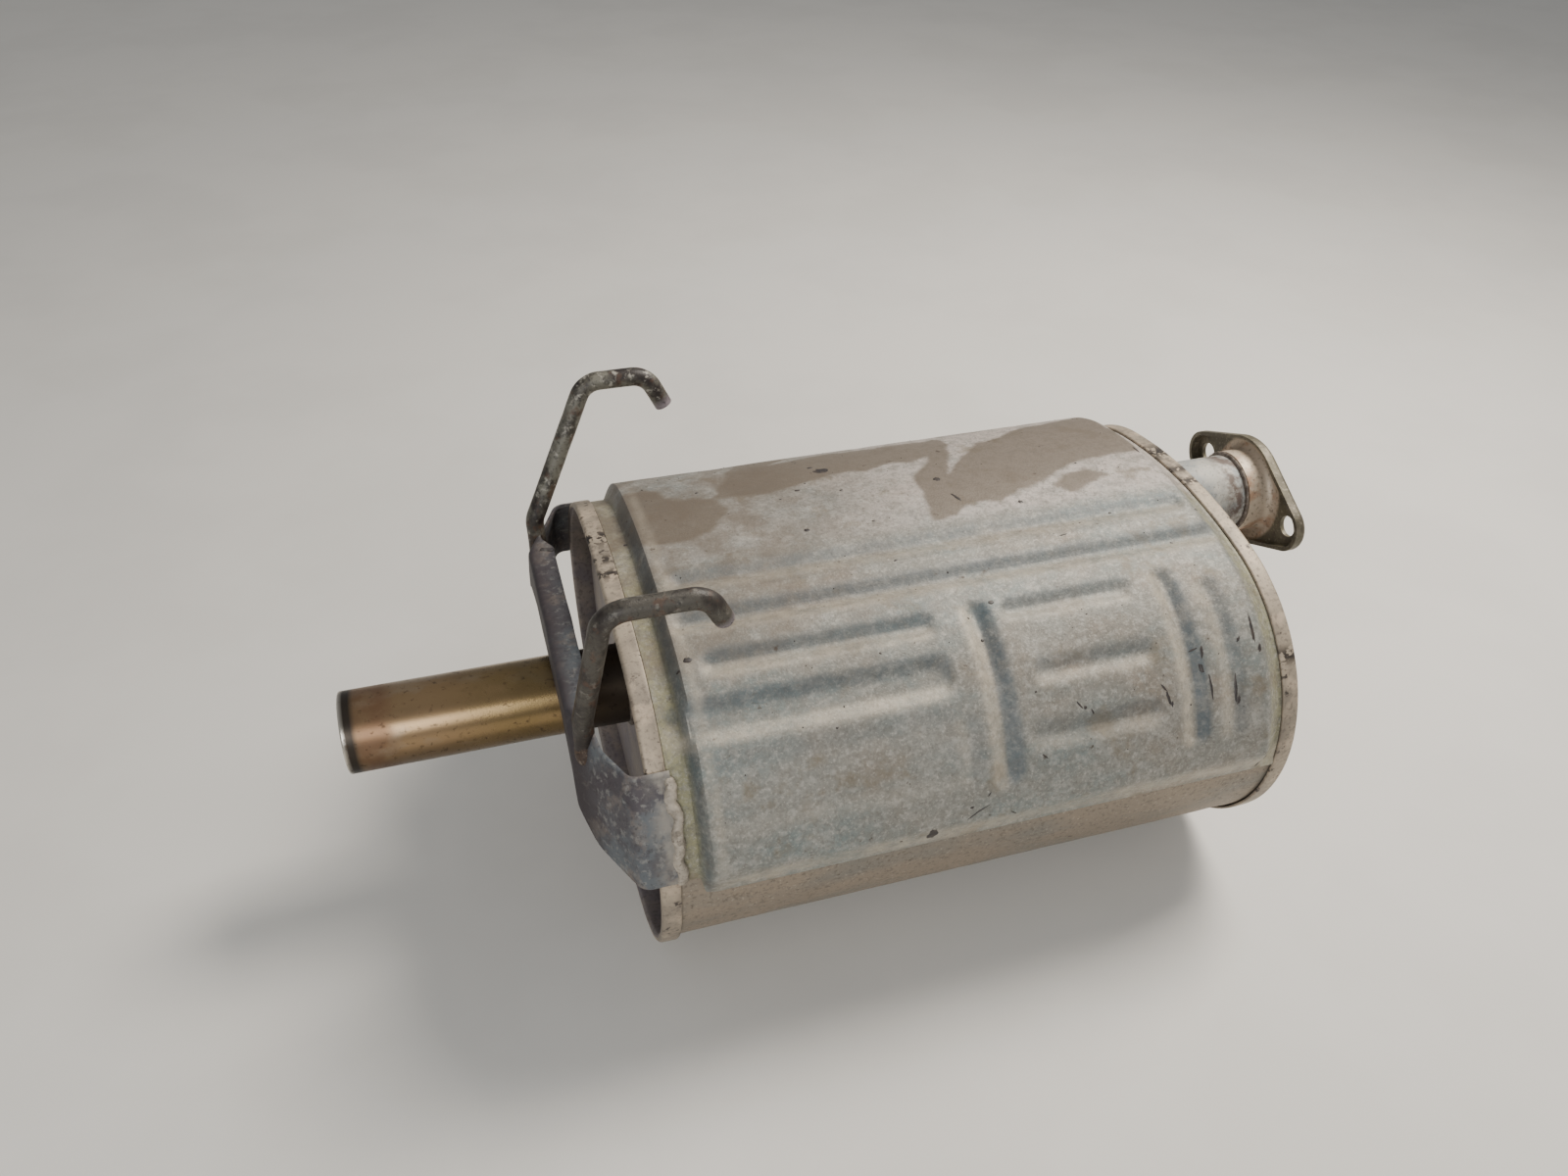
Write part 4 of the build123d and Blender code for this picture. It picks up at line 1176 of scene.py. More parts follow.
@dataclass(frozen=True)
class RoadTar:
    """Flecks and streaks of tar and burnt film stuck to the cover."""

    bench: Bench
    cover: HeatCover
    columns: int = 16
    height: float = 0.28
    scatter: int = 120

    def known(self) -> list[Speck]:
        """The larger flecks, each in its place."""
        return [
            Speck(150, 281, 9, 7), Speck(145, 288, 4, 2), Speck(153, 251, 2.6, 1.8),
            Speck(128, 259, 3.6, 2.4), Speck(213, 247, 4.6, 4.2), Speck(216, 224, 10, 1.8, 1.9),
            Speck(251, 210, 3.2, 3.0), Speck(70, 275, 2.4, 1.6), Speck(201, 138, 3.2, 2.4),
            Speck(190, 118, 1.8, 1.8), Speck(147, 13, 12, 6.5, 1.6), Speck(129, 13, 1.8, 1.4),
            Speck(287, 67, 8, 1.9, 1.8), Speck(285, 73, 5, 1.2, 2.2), Speck(289, 63, 3, 1.4, 1.5),
            Speck(312, 88, 7, 1.8, 1.4), Speck(310, 79, 6, 2.2, 1.7), Speck(314, 68, 14, 1.5, 1.62),
            Speck(308, 90, 4, 1.0, 0.3), Speck(330, 64, 16, 1.6, 1.5), Speck(331, 57, 5, 2.0, 1.4),
            Speck(346, 96, 17, 1.9, 1.5), Speck(336, 91, 4, 1.4, 0.9), Speck(348, 84, 5, 2.0, 1.4),
            Speck(234, 73, 5, 1.0, 2.2), Speck(241, 68, 3.4, 1.0, 2.0), Speck(237, 71, 2, 2, 0),
            Speck(211, 49, 4.5, 0.9, 2.4), Speck(172, 24, 15, 0.8, 0.45),
            Speck(178, 34, 3, 0.8, 0.9),
            Speck(168, 28, 2.2, 1.6), Speck(193, 18, 5, 1.0, 2.4), Speck(349, 246, 8, 1.6, 1.6),
            Speck(355, 12, 4, 2.4, 1.4), Speck(353, 5, 6, 1.6, 1.2), Speck(160, 178, 2.6, 1.2, 0.4),
            Speck(20, 242, 2.2, 1.6), Speck(32, 136, 4.4, 3.6), Speck(26, 131, 2.0, 1.4),
            Speck(186, 132, 1.6, 1.2), Speck(300, 190, 1.8, 1.4), Speck(262, 176, 6.0, 0.9, 0.1),
            Speck(352, 180, 3.4, 1.0, 0.2), Speck(160, 214, 2.0, 1.4), Speck(120, 215, 3.4, 3.0),
        ]

    def scattered(self) -> list[Speck]:
        """Small specks strewn evenly over the cover, most of them very small.

        Returns:
            The specks, the same at every build.
        """
        rng = np.random.default_rng(41)
        quarter = self.cover.oval.quarter(self.cover.standoff)
        specks = []
        for _ in range(self.scatter):
            x = float(rng.uniform(26.0, self.bench.length - 28.0))
            girth = float(rng.uniform(22.0, 2 * quarter - 22.0))
            size = float(0.55 + 1.0 * rng.power(0.45) ** 3)
            specks.append(Speck(x, girth, size * 1.3, size, float(rng.uniform(0, 3.1))))
        return specks

    def build(self, surface: Surface) -> bpy.types.Object:
        """Lays every fleck on the cover's skin.

        A fleck is a disc of rings: the outline is an ellipse with a wandering edge, its top a
        low dome, and its underside lies just inside the sheet, so it is closed.

        Args:
            surface: The cover's skin, whose nearest points carry the flecks.

        Returns:
            One piece with all the flecks.
        """
        rng = np.random.default_rng(7)
        specks = self.known() + self.scattered()
        ring = np.linspace(0.0, 2 * math.pi, self.columns, endpoint=False)
        reach = np.array([0.03, 0.45, 0.8, 1.0, 1.0, 0.03])
        lift = np.array([1.0, 0.85, 0.5, 0.05, -0.8, -0.8]) * self.height
        count = len(reach) * self.columns + 2
        points, quads, triangles = [], [], []
        for speck in specks:
            ragged = 1.0 + 0.22 * rng.uniform(-1, 1, self.columns)
            u = reach[:, None] * np.cos(ring) * ragged * speck.length / 2
            v = reach[:, None] * np.sin(ring) * ragged * speck.width / 2
            x = speck.x + u * math.cos(speck.turn) - v * math.sin(speck.turn)
            girth = speck.girth + u * math.sin(speck.turn) + v * math.cos(speck.turn)
            base, normal = on_surface(surface, x, girth)
            dome = Surface(base + normal * lift[:, None, None], wrap_columns=True)
            centres, fans = dome.fans()
            quads.append(dome.quads() + len(points) // 2 * count)
            triangles.append(fans + len(points) // 2 * count)
            points += [dome.points.reshape(-1, 3), centres]
        return mesh_object("tar_specks", self.bench.place(np.concatenate(points)),
                           np.concatenate(quads), np.concatenate(triangles))


def on_surface(surface: Surface, x: Array, girth: Array) -> tuple[Array, Array]:
    """Points and normals of a skin at stations and girths, blended between grid points.

    Args:
        surface: A skin whose uv holds station and girth in metres.
        x: Stations in millimetres.
        girth: Girths in millimetres.

    Returns:
        The points and unit normals.
    """
    rows = surface.uv[:, 0, 0] / MM
    columns = surface.uv[surface.uv.shape[0] // 2, :, 1] / MM
    row = np.clip(np.interp(x, rows, np.arange(len(rows))), 0, len(rows) - 1.001)
    column = np.interp(girth, columns, np.arange(len(columns)))
    column = np.clip(column, 0, len(columns) - 1.001)
    i, j = row.astype(int), column.astype(int)
    a, b = (row - i)[..., None], (column - j)[..., None]
    normals = surface.normals()
    blended = []
    for grid in (surface.points, normals):
        near = grid[i, j] * (1 - b) + grid[i, j + 1] * b
        far = grid[i + 1, j] * (1 - b) + grid[i + 1, j + 1] * b
        blended.append(near * (1 - a) + far * a)
    return blended[0], blended[1]


@dataclass(frozen=True)
class Shell:
    """Wrapped oval sheet with a long lock seam under the belly."""

    bench: Bench
    oval: Oval
    skin: float = -2.5
    sheet: float = 1.2
    end: float = 1.4
    seam_height: float = 1.1
    seam_half: float = 5.0

    def surface(self) -> Surface:
        """The shell's outer skin.

        The section at every station is moved along its normal by the skin there: the seam's
        rounded rise under the belly, less faint hoops, which are the size of a product of two
        sines of the station, less noise, all easing out near the rims.

        Returns:
            The skin, closed round the body.
        """
        x = stations((self.end, 0), (self.bench.length - self.end, 4.2))
        around = 4 * self.oval.quarter(0.0)
        girth = np.linspace(0.0, around, 300, endpoint=False)
        across, along = np.meshgrid(girth, x)
        section, normal = self.oval.section(across, 0.0)
        section[..., 0] = along
        belly = 3 * self.oval.quarter(0.0)
        free = smooth((along - 14.0) / 6.0) * smooth((self.bench.length - 14.0 - along) / 6.0)
        seam = self.seam_height * bump(across - belly, self.seam_half, 3.6)
        hoops = 0.25 * np.sin(along / 9.0) * np.sin(along / 31.0)
        wander = 0.35 * np.minimum(lumps(section, 40.0, 21), 0.0)
        skin = self.skin + (seam - np.abs(hoops) * 0.6 + wander) * free
        return Surface(section + normal * skin[..., None], wrap_columns=True)


class End(Enum):
    """The body's two ends."""

    OUTLET = "outlet"
    INLET = "inlet"


@dataclass(frozen=True)
class Head:
    """Stamped end: rolled rim, recess, raised face and the pipe's hole."""

    bench: Bench
    oval: Oval
    end: End
    hole: tuple[float, float, float]
    sheet: float = 1.3
    rim_width: float = 10.8
    recess: float = 20.0
    face_x: float = FACE_DEPTH
    columns: int = 288
    chips: tuple[tuple[float, float], ...] = (
        (202.0, 8.0), (216.0, 7.0), (240.0, 18.0), (70.0, 9.0))

    def profile(self) -> tuple[Array, Array, Array]:
        """The sheet's section from the rim's lip to the hole's edge and back inside.

        Out over the rim with a crowned outside and a round nose, down the skirt, across the
        floor, up the slope and over the face; then back, a sheet's thickness behind.

        Returns:
            Depth into the body, skin, and how far each row has gone from the oval to the hole.
        """
        skirt, foot, face = -5.0, -9.5, -16.5
        outside = rounded(
            [(self.rim_width, -1.25), (self.rim_width, 0.0), (5.4, 0.0), (0.0, -0.15),
             (0.0, skirt), (self.recess, skirt), (self.recess, foot), (self.face_x, face),
             (self.face_x, face - 4.0)],
            [0.9, 20.0, 2.1, 2.3, 2.8, 2.0, 3.0], 0.55)
        inside = rounded(
            [(self.face_x + self.sheet, face - 4.0), (self.face_x + self.sheet, face - 1.0),
             (self.recess + self.sheet, foot - 1.0), (self.recess + self.sheet, -3.8),
             (3.0, -3.8), (3.0, -1.3), (self.rim_width, -1.3)],
            [2.0, 2.0, 1.6, 1.0, 1.0], 1.6)
        blend = np.array([0.02, 0.06, 0.14, 0.26, 0.40, 0.56, 0.72, 0.86, 0.96, 1.0])
        count = len(blend)
        depth = np.concatenate([outside[:, 0], np.full(count, self.face_x),
                                np.full(count, self.face_x + self.sheet), inside[:, 0]])
        skin = np.concatenate([outside[:, 1], np.full(2 * count, face - 4.0), inside[:, 1]])
        across = np.concatenate([np.zeros(len(outside)), blend, blend[::-1], np.zeros(len(inside))])
        return depth, skin, across

    def surface(self) -> Surface:
        """The whole stamping as one closed ring.

        Each row is the oval at its skin, or on the face a straight blend from the oval's
        point to the hole's point in the same direction from the hole's centre.

        Returns:
            The ring with its painted values.
        """
        depth, skin, across = self.profile()
        girth = np.linspace(0.0, 4 * self.oval.quarter(0.0), self.columns, endpoint=False)
        section, normal = self.oval.section(girth, 0.0)
        ring = section[None] + normal[None] * skin[:, None, None]
        y, z, radius = self.hole
        from_hole = ring - np.array([0.0, y, z])
        distance = np.maximum(np.linalg.norm(from_hole, axis=-1, keepdims=True), 1e-6)
        target = np.array([0.0, y, z]) + from_hole / distance * radius
        points = ring + (target - ring) * across[:, None, None]
        wander = 0.5 * lumps(points, 44.0, 31) * smooth(across * 6.0)[:, None] * smooth(
            (1.0 - across) * 8.0)[:, None]
        dents = 0.16 * lumps(points, 13.0, 33) * (1.0 - smooth(across * 9.0))[:, None]
        place = depth[:, None] + np.abs(wander)
        pressed = np.minimum(dents, 0.0) * (depth < 11.0)[:, None]
        points = points + normal[None] * pressed[..., None]
        if self.end is End.INLET:
            place = self.bench.length - place
        else:
            points, place = points[::-1], place[::-1]
            depth, skin, across = depth[::-1], skin[::-1], across[::-1]
        points[..., 0] = place
        rim = ((skin > -3.0) & (depth < self.rim_width + 0.1)).astype(float)
        # Painted shade that deepens into the recess.
        deep = smooth((depth - 4.0) / 14.0) * (1.0 - smooth(across * 5.0))
        wide = np.ones(self.columns)
        chips = sum(bump(girth - at, reach) for at, reach in self.chips)
        return Surface(points, wrap_rows=True, wrap_columns=True,
                       paint={"rim": rim[:, None] * wide, "deep": deep[:, None] * wide,
                              "chips": rim[:, None] * np.clip(chips, 0.0, 1.0)})


class Casing:
    """Shell, cover, both heads and what sticks to them."""

    def __init__(self, bench: Bench, oval: Oval) -> None:
        """Keeps the bench and the section."""
        self.bench = bench
        self.oval = oval

    def build(self) -> None:
        """Builds and dresses every piece of the casing."""
        cover = HeatCover(self.bench, self.oval)
        skin = cover.surface()
        finish_piece(skin.piece("cover_skin", self.bench, cover.sheet), COVER_STEEL,
                     "cover_steel", "heat_cover")
        finish_piece(RoadTar(self.bench, cover).build(skin), ROAD_TAR, "cover_steel")
        shell = Shell(self.bench, self.oval)
        finish_piece(shell.surface().piece("shell_skin", self.bench, shell.sheet), SHELL_STEEL,
                     "shell_steel", "outer_shell")
        gap = 0.25
        outlet_y, outlet_z, outlet_radius, _ = self.bench.outlet
        inlet_y, inlet_z, inlet_radius, _ = self.bench.inlet
        for name, end, hole in (
                ("outlet_head", End.OUTLET, (outlet_y, outlet_z, outlet_radius + gap)),
                ("inlet_head", End.INLET, (inlet_y, inlet_z, inlet_radius + gap))):
            head = Head(self.bench, self.oval, end, hole)
            piece = head.surface().piece(name + "_stamping", self.bench)
            finish_piece(piece, HEAD_STEEL, "head_steel", name)


# ------------------------------------------------------------------ pipes
@dataclass(frozen=True)
class Pipework:
    """The tailpipe, the inlet pipe, the flange's finish and their welds."""

    bench: Bench
    wall: float = 1.5
    entry: float = 34.0
    roll: float = 1.1
    columns: int = 120
    weld: float = 3.0
    flange_weld: float = 2.6
    collar: float = 20.0

    def tailpipe(self) -> Surface:
        """The tailpipe: a turned tube, its end rolled, its skin a little out of round.

        The profile runs along the outside, round the rolled end and back along the bore.

        Returns:
            The tube with its painted values.
        """
        y, z, radius, end = self.bench.outlet
        bore = radius - self.wall
        corners = [(end, bore + 0.3), (end, radius), (self.entry, radius)]
        outside = rounded(corners, [self.roll], 0.3)
        fine = stations((end + 3.0, 0), (self.entry, 3.0))
        outside = np.concatenate([outside[outside[:, 0] < end + 2.0],
                                  np.stack([fine, np.full_like(fine, radius)], -1)])
        inside = np.stack([np.linspace(self.entry, end + 0.4, 30), np.full(30, bore)], -1)
        surface = lathe(np.concatenate([outside, inside])[::-1], y, z, self.columns, True)
        return self.worn(surface, y, z, 0.16, {
            "gold": lambda x: smooth((x - end - 40.0) / 60.0) * smooth((-22.0 - x) / 12.0),
            "tan": lambda x: bump(x - end - 17.0, 16.0, 6.0),
            "tip": lambda x: bump(x - end - 4.5, 5.0, 3.0),
            # A painted highlight along the rolled lip.
            "lip": lambda x: bump(x - end, 1.6, 0.7),
            # Painted shade from the bracket in towards the head.
            "shade_behind_bracket": lambda x: smooth((x + 34.0) / 18.0)})

    def inlet(self) -> Surface:
        """The inlet pipe: a turned tube from inside the head to the flange.

        The profile is a straight line outside and another along the bore.

        Returns:
            The tube with its painted values.
        """
        y, z, radius, end = self.bench.inlet
        start = self.bench.length - self.entry
        bore = radius - self.wall
        run = stations((start, 0), (end, 3.0))
        outside = np.stack([run, np.full_like(run, radius)], -1)
        inside = np.stack([run[::-1], np.full_like(run, bore)], -1)
        surface = lathe(np.concatenate([outside, inside])[::-1], y, z, self.columns, True)
        weld_x = self.bench.flange_x - self.collar
        return self.worn(surface, y, z, 0.14, {
            "burnt": lambda x: bump(x - weld_x + 6.0, 16.0, 3.0)})

    @staticmethod
    def worn(surface: Surface, y: float, z: float, depth: float,
             paint: dict[str, Callable[[Array], Array]]) -> Surface:
        """Presses a turned surface a little inwards, in lumps, and paints it by station.

        Args:
            surface: The turned surface.
            y: Its axis.
            z: Its axis.
            depth: The deepest press.
            paint: For each painted value, a function of the station.

        Returns:
            The same surface, changed.
        """
        points = surface.points
        away = points - np.array([0.0, y, z])
        away[..., 0] = 0.0
        away = away / np.linalg.norm(away, axis=-1, keepdims=True)
        press = depth * np.minimum(lumps(points, 24.0, 51), 0.0)
        surface.points = points + away * press[..., None]
        surface.paint = {key: rule(points[..., 0]) for key, rule in paint.items()}
        return surface

    def ring_weld(self, x: float, y: float, z: float, radius: float, size: float, seed: int,
                  away: float) -> Surface:
        """A bead round a pipe: a small round section carried round it, swelling in ripples.

        Args:
            x: The corner's station.
            y: The pipe's axis.
            z: The pipe's axis.
            radius: The pipe's radius.
            size: The bead's radius.
            seed: Picks its lumps.
            away: 1 or -1, the side of the corner that the bead lies on.

        Returns:
            The bead.
        """
        around = np.linspace(0.0, 2 * math.pi, 260, endpoint=False)
        turn = np.linspace(0.0, 2 * math.pi, 14, endpoint=False)
        angle, part = np.meshgrid(around, turn, indexing="ij")
        rng = np.random.default_rng(seed)
        swell = 1.0 + 0.07 * np.sin(angle * 34.0 + rng.uniform(0, 6)) + 0.10 * np.sin(
            angle * 5.0 + rng.uniform(0, 6))
        reach = radius + size * swell * np.cos(part) * 0.9
        place = x + away * size * (0.42 + swell * np.sin(part) * 0.5)
        points = np.stack([place, y + reach * np.cos(angle), z + reach * np.sin(angle)], -1)
        rough = 0.16 * lumps(points, 2.6, seed + 1)
        points[..., 0] += away * np.minimum(rough, 0.0)
        if away < 0:
            points = points[:, ::-1]
        return Surface(points, wrap_rows=True, wrap_columns=True)

    def build(self) -> None:
        """Builds and dresses the pipes and beads; the flange keeps its own shape."""
        finish_piece(self.tailpipe().piece("tailpipe", self.bench), TAILPIPE_STEEL,
                     "pipe_stainless", "outlet_pipe")
        finish_piece(self.inlet().piece("inlet_tube_skin", self.bench), INLET_STEEL,
                     "pipe_steel", "inlet_pipe")
        FLANGE_STEEL.dress(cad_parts["inlet_flange"])
        oy, oz, outlet_radius, _ = self.bench.outlet
        iy, iz, inlet_radius, _ = self.bench.inlet
        beads = (
            ("outlet_bead", "outlet_pipe_weld",
             self.ring_weld(FACE_DEPTH, oy, oz, outlet_radius, self.weld, 61, -1.0)),
            ("inlet_bead", "inlet_pipe_weld",
             self.ring_weld(self.bench.length - FACE_DEPTH, iy, iz, inlet_radius, self.weld, 63,
                            1.0)),
            ("flange_bead", "flange_weld",
             self.ring_weld(self.bench.flange_x - self.collar, iy, iz, inlet_radius,
                            self.flange_weld, 65, -1.0)),
        )
        for name, node, surface in beads:
            finish_piece(surface.piece(name, self.bench), WELD_METAL, "weld_metal", node)


# ------------------------------------------------------------------ hanger
@dataclass(frozen=True)
class Bracket:
    """Pressed bridge over the tailpipe: two feet on the rim, joined by a flanged bar."""

    bench: Bench
    oval: Oval
    sheet: float = 2.0
    standoff: float = 32.0
    lap: float = 12.0
    shoulder: float = 9.0
    inset: float = 50.0
    foot_low: float = 15.0
    foot_high: float = 70.0
    bar_low: float = 36.0
    bar_top: float = 76.0
    ledge: float = 15.0
    arch_gap: float = 8.0
    ledge_end: float = 80.0

    def outline(self, y: Array) -> tuple[Array, Array]:
        """Lower and upper edges of the bracket at a distance from the middle.

        Both are straight runs between a few heights, their corners rounded by averaging
        each run with itself a few millimetres to either side.

        Args:
            y: Distances from the middle, never negative.

        Returns:
            The lower and the upper edge's heights.
        """
        _, pipe_z, radius, _ = self.bench.outlet
        arch = pipe_z + radius + self.arch_gap
        low = self.eased(y, [0.0, 47.6, 87.0, self.bench.half_width - 35.0, 160.0],
                         [arch, arch, self.bar_low, self.foot_low, self.foot_low])
        high = self.eased(y, [0.0, 92.5, 98.0, 160.0],
                          [self.bar_top, self.bar_top, self.foot_high, self.foot_high])
        return low, high

    @staticmethod
    def eased(y: Array, places: Sequence[float], heights: Sequence[float]) -> Array:
        """Straight runs between places, averaged over 8 mm.

        Args:
            y: Distances from the middle.
            places: Where the runs meet.
            heights: The height at each of the places.

        Returns:
            The eased heights.
        """
        shifts = (-4.0, -2.7, -1.3, 0.0, 1.3, 2.7, 4.0)
        runs = [np.interp(np.abs(y + shift), places, heights) for shift in shifts]
        return sum(runs) / len(runs)

    def fullness(self, y: Array) -> Array:
        """How far the ledge is drawn out at a distance from the middle, from 0 to 1."""
        return smooth((self.ledge_end + 4.0 - y) / 10.0)

    def curl(self, y: Array) -> Array:
        """Radius of the top edge: the sheet's rounded corner, or the ledge's fold."""
        return self.sheet + 0.3 + 1.0 * self.fullness(y)

    def surface(self) -> Surface:
        """The bracket's outer face, from one foot's end over the bar to the other's.

        The path along it is foot, slope and bar in the plane of station and inset, with
        rounded folds.  Across it, the height runs from the lower edge to the upper, and a
        few more rows turn the bar's top edge in towards the head.

        Returns:
            The outer face with its painted values.
        """
        radius = self.oval.flank + self.sheet
        path = rounded(
            [(self.lap, 0.0), (-self.shoulder, 0.0), (-self.standoff, self.inset),
             (-self.standoff, self.inset + 30.0)], [9.0, 7.0], 1.0)
        path = path[path[:, 1] <= self.inset + 6.0]
        share = np.linspace(0.0, 1.0, 26)
        x = np.repeat(path[:, :1], len(share), 1)
        z = np.full_like(x, (self.foot_low + self.foot_high) / 2)
        for _ in range(30):
            y = path[:, 1:] - self.oval.centre - np.sqrt(radius**2 - z**2)
            low, high = self.outline(np.abs(y))
            z = 0.5 * z + 0.5 * (low + share * (high - self.curl(np.abs(y)) - low))
        bar_y = y[-1] * (1.0 - np.linspace(0.0, 1.0, 46)[1:, None])
        low, high = self.outline(np.abs(bar_y))
        bar_z = low + share * (high - self.curl(np.abs(bar_y)) - low)
        x = np.concatenate([x, np.full_like(bar_y, -self.standoff)])
        half = self.with_ledge(np.stack([x, np.concatenate([y, bar_y]),
                                         np.concatenate([z, bar_z])], -1))
        other = half[:-1][::-1] * np.array([1.0, -1.0, 1.0])
        points = np.concatenate([half, other])
        press = np.minimum(0.45 * lumps(points, 26.0, 71), 0.0)
        points = points - press[..., None] * np.array([1.0, 0.0, 0.0])
        foot = bump(points[..., 0] - self.lap, 16.0, 4.0)
        # Painted shade over the bar, which lies in shadow.
        bar = smooth((-points[..., 0] - 20.0) / 10.0)
        return Surface(points[:, ::-1], paint={"foot": foot[:, ::-1], "bar": bar[:, ::-1]})

    def with_ledge(self, half: Array) -> Array:
        """Adds the rows that turn the top edge in: a quarter round and then a flat.

        Each row turns towards the sheet's inner side, which is square to the way the top
        edge runs.  The flat is long over the bar and next to nothing on the feet.

        Args:
            half: The front half's outer face.

        Returns:
            The half with its turned edge.
        """
        top = half[:, -1]
        run = np.gradient(top[:, :2], axis=0)
        run = run / np.linalg.norm(run, axis=1, keepdims=True)
        inward = np.stack([run[:, 1], -run[:, 0], np.zeros(len(run))], -1)
        full = self.fullness(np.abs(top[:, 1]))[:, None]
        curl = self.curl(np.abs(top[:, 1]))[:, None]
        angle = np.linspace(0.0, math.pi / 2, 6)[None, 1:]
        flat = np.linspace(0.0, 1.0, 6)[None, 1:]
        depth = np.concatenate([curl * (1.0 - np.cos(angle)),
                                curl + flat * (0.3 + (self.ledge - curl) * full)], 1)
        rise = np.concatenate([curl * np.sin(angle), curl * np.ones_like(flat)], 1)
        rows = (top[:, None] + inward[:, None] * depth[..., None]
                + np.array([0.0, 0.0, 1.0]) * rise[..., None])
        return np.concatenate([half, rows], 1)


@dataclass(frozen=True)
class HangerRod:
    """A bent bar: up from the bracket, along over the body and down at its tip."""

    bench: Bench
    side: float
    corner_x: float
    run_x: float
    foot_round: float
    tip_round: float
    diameter: float = 11.0
    foot_x: float = -24.4
    foot: tuple[float, float] = (87.0, 57.0)
    knee: tuple[float, float] = (90.0, 84.0)
    top: tuple[float, float] = (107.0, 164.0)
    tip: tuple[float, float, float] = (10.0, 3.0, 20.0)
    bend: float = 14.0
    wear: float = 1.0
    columns: int = 44

    def surface(self) -> Surface:
        """The bar: a round section along the bent path, pitted by rust.

        Returns:
            The bar with its painted values.
        """
        points = [
            (self.foot_x, self.side * self.foot[0], self.foot[1]),
            (self.foot_x, self.side * self.knee[0], self.knee[1]),
            (self.corner_x, self.side * self.top[0], self.top[1]),
            (self.run_x, self.side * self.top[0], self.top[1]),
            (self.run_x + self.tip[0], self.side * (self.top[0] - self.tip[1]),
             self.top[1] - self.tip[2]),
        ]
        path = rounded(points, [self.bend] * 3, 0.8)
        line, radius = capped(path, self.diameter / 2, self.foot_round, self.tip_round)
        tube = swept(line, radius, self.columns, (0.0, 1.0, 0.0))
        away = tube.points - line[:, None]
        unit = away / np.maximum(np.linalg.norm(away, axis=-1, keepdims=True), 1e-6)
        pits = 0.12 * np.minimum(lumps(tube.points, 2.2, 81), 0.0) + 0.18 * np.minimum(
            lumps(tube.points, 7.0, 83), 0.0)
        tube.points = tube.points + unit * (pits * (radius > 3.0)[:, None])[..., None]
        gone = run_length(line)
        left = gone[-1] - gone
        worn = self.wear * smooth((gone - 6.0) / 20.0)
        tip = bump(left, 7.0, 2.0)
        wide = np.ones(self.columns)
        tube.paint = {"worn": worn[:, None] * wide, "tip": tip[:, None] * wide}
        return tube


class HangerSet:
    """The bracket, the two rods and their welds."""

    def __init__(self, bench: Bench, oval: Oval) -> None:
        """Keeps the bench and the section."""
        self.bench = bench
        self.oval = oval

    def foot_bead(self, side: float) -> Surface:
        """A ragged bead along a foot's end, on the rim: lumps laid on lumps.

        The bead follows the flank's arc at the foot's end; its section is a flattened
        circle whose size wanders, so that its edge is ragged.

        Args:
            side: -1 for the front flank, 1 for the rear.

        Returns:
            The bead.
        """
        radius = self.oval.flank + 0.2
        low, high = math.asin(12.5 / radius), math.asin(67.0 / radius)
        angle = np.linspace(low, high, 120)
        weave = 11.4 + 0.9 * np.sin(angle * 40.0) + 0.6 * np.sin(angle * 17.0)
        path = np.stack([weave, side * (self.oval.centre + radius * np.cos(angle)),
                         radius * np.sin(angle)], -1)
        line, size = capped(path, 3.7, 3.4, 3.4)
        tube = swept(line, size, 30, (1.0, 0.0, 0.0))
        away = tube.points - line[:, None]
        unit = away / np.maximum(np.linalg.norm(away, axis=-1, keepdims=True), 1e-6)
        rough = 0.55 * lumps(tube.points, 4.2, 91) + 0.35 * lumps(tube.points, 1.9, 93) - 0.45
        press = np.minimum(rough, 0.15) * (size > 1.0)[:, None]
        tube.points = tube.points + unit * press[..., None]
        return tube

    def rod_bead(self, side: float) -> Surface:
        """Lumps of weld round a rod's foot, on the bracket's outer face.

        Args:
            side: -1 for the front rod, 1 for the rear.

        Returns:
            The lumps as one closed blob, pressed out of round by noise.
        """
        rings = np.linspace(0.03, math.pi - 0.03, 26)
        turns = np.linspace(0.0, 2 * math.pi, 40, endpoint=False)
        polar, turn = np.meshgrid(rings, turns, indexing="ij")
        unit = np.stack([np.sin(polar) * np.cos(turn), np.sin(polar) * np.sin(turn),
                         np.cos(polar)], -1)
        half_sizes = np.array([5.2, 7.6, 9.5])
        centre = np.array([-25.0, side * 87.6, 60.5])
        points = unit * half_sizes
        points = points * (1.0 + 0.14 * lumps(points + 40.0, 4.0, 95))[..., None]
        points = points + centre
        if side > 0:
            points = points[:, ::-1]
            points[..., 1] = 2 * centre[1] - points[..., 1]
        return Surface(points, wrap_columns=True, poles=True)

    def build(self) -> None:
        """Builds and dresses the hanger."""
        bracket = Bracket(self.bench, self.oval)
        finish_piece(bracket.surface().piece("bridge_bracket", self.bench, bracket.sheet),
                     BRACKET_STEEL, "bracket_steel", "hanger_bracket")
        rods = (
            ("front_rod", "hanger_rod_front",
             HangerRod(self.bench, side=-1.0, corner_x=-12.0, run_x=37.0, foot_round=2.0,
                       tip_round=3.6, wear=0.3)),
            ("rear_rod", "hanger_rod_rear",
             HangerRod(self.bench, side=1.0, corner_x=15.0, run_x=52.0, foot_round=2.0,
                       tip_round=0.7)),
        )
        for name, node, rod in rods:
            finish_piece(rod.surface().piece(name, self.bench), ROD_STEEL, "rod_steel", node)
        for name, side in (("front", -1.0), ("rear", 1.0)):
            finish_piece(self.foot_bead(side).piece("foot_bead_" + name, self.bench),
                         RIM_WELD_METAL, "weld_metal", "bracket_weld_" + name)
            finish_piece(self.rod_bead(side).piece("rod_bead_" + name, self.bench),
                         ROD_WELD_METAL, "weld_metal", "rod_weld_" + name)


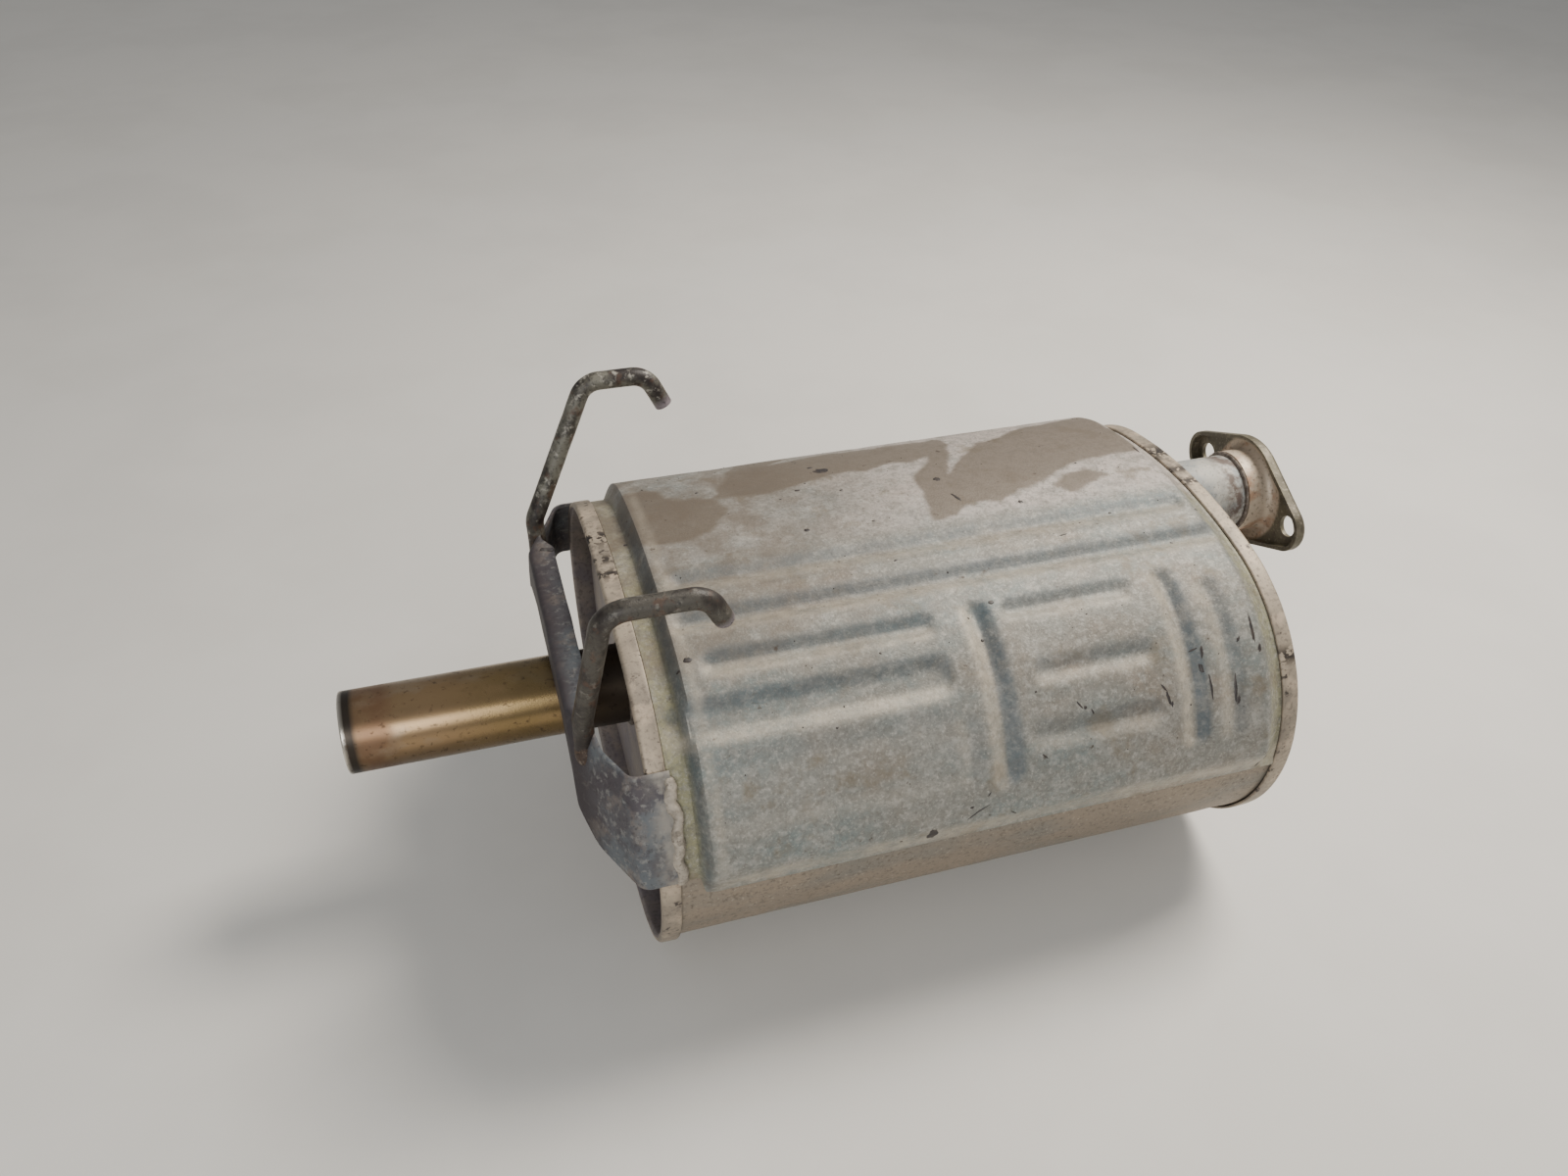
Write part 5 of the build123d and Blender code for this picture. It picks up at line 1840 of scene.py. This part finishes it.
# ------------------------------------------------------------------ studio
@dataclass(frozen=True)
class Studio:
    """Floor, light and camera."""

    bench: Bench
    eye: tuple[float, float, float] = (-61.8, -528.8, 512.9)
    yaw: float = 0.3116
    pitch: float = 0.6710
    roll: float = 0.0298
    lens: float = 27.61
    sensor: float = 36.0

    def camera(self) -> None:
        """Sets the camera: yaw turns it from +y to +x, pitch down and roll about its view."""
        ahead = Vector((math.sin(self.yaw) * math.cos(self.pitch),
                        math.cos(self.yaw) * math.cos(self.pitch), -math.sin(self.pitch)))
        right = Vector((math.cos(self.yaw), -math.sin(self.yaw), 0.0))
        up = right.cross(ahead)
        turned_right = right * math.cos(self.roll) + up * math.sin(self.roll)
        turned_up = up * math.cos(self.roll) - right * math.sin(self.roll)
        axes = Matrix((turned_right, turned_up, -ahead)).transposed()
        data = bpy.data.cameras.new("camera")
        data.lens = self.lens
        data.sensor_fit = "HORIZONTAL"
        data.sensor_width = self.sensor
        data.clip_start = 0.01
        camera = bpy.data.objects.new("camera", data)
        bpy.context.scene.collection.objects.link(camera)
        place = Vector([float(v) for v in self.bench.place(np.array(self.eye))])
        camera.matrix_world = Matrix.Translation(place) @ axes.to_4x4()
        bpy.context.scene.camera = camera

    def floor(self) -> None:
        """A pale floor that the belly rests on: a wide flat grid."""
        level = -self.bench.half_height
        side = np.linspace(-5000.0, 5000.0, 9)
        y, x = np.meshgrid(side, side)
        points = np.stack([x, y, np.full_like(x, level)], -1)
        floor = Surface(points).piece("floor", self.bench)
        FLOOR_PAINT.dress(floor)

    def lamp(self, name: str, place: tuple[float, float, float], size: float, power: float,
             colour: str) -> None:
        """Adds a soft square lamp aimed at the body.

        Args:
            name: The lamp's name.
            place: Millimetres from the outlet rim's centre.
            size: Side in metres.
            power: Watts.
            colour: Its colour in hex.
        """
        data = bpy.data.lights.new(name, "AREA")
        data.size = size
        data.energy = power
        data.color = linear(colour)[:3]
        lamp = bpy.data.objects.new(name, data)
        bpy.context.scene.collection.objects.link(lamp)
        where = Vector([float(v) for v in self.bench.place(np.array(place))])
        middle = np.array((self.bench.length / 2, 0.0, 0.0))
        aim = Vector([float(v) for v in self.bench.place(middle)])
        turn = (aim - where).to_track_quat("-Z", "Y").to_matrix().to_4x4()
        lamp.matrix_world = Matrix.Translation(where) @ turn

    def build(self) -> None:
        """Sets up the floor, the light and the camera."""
        self.floor()
        world = bpy.data.worlds.new("soft_room")
        world.use_nodes = True
        sky = world.node_tree.nodes["Background"]
        sky.inputs["Color"].default_value = linear("#E8EAEC")
        sky.inputs["Strength"].default_value = 0.42
        bpy.context.scene.world = world
        self.lamp("overhead_lamp", (950.0, 250.0, 1250.0), 0.6, 33.0, "#FFF8EE")
        self.lamp("front_lamp", (-500.0, -1400.0, 800.0), 0.8, 15.0, "#FBFBFA")
        self.camera()


def main() -> None:
    """Builds the silencer's looks."""
    logging.basicConfig(level=logging.INFO, format="%(name)s: %(message)s")
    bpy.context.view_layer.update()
    bench = Bench.measured()
    oval = Oval(bench.half_width, bench.half_height)
    Casing(bench, oval).build()
    Pipework(bench).build()
    HangerSet(bench, oval).build()
    INNER_STEEL.dress(*(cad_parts[name] for name in INNER_NODES))
    Studio(bench).build()


if __name__ == "__main__":
    main()
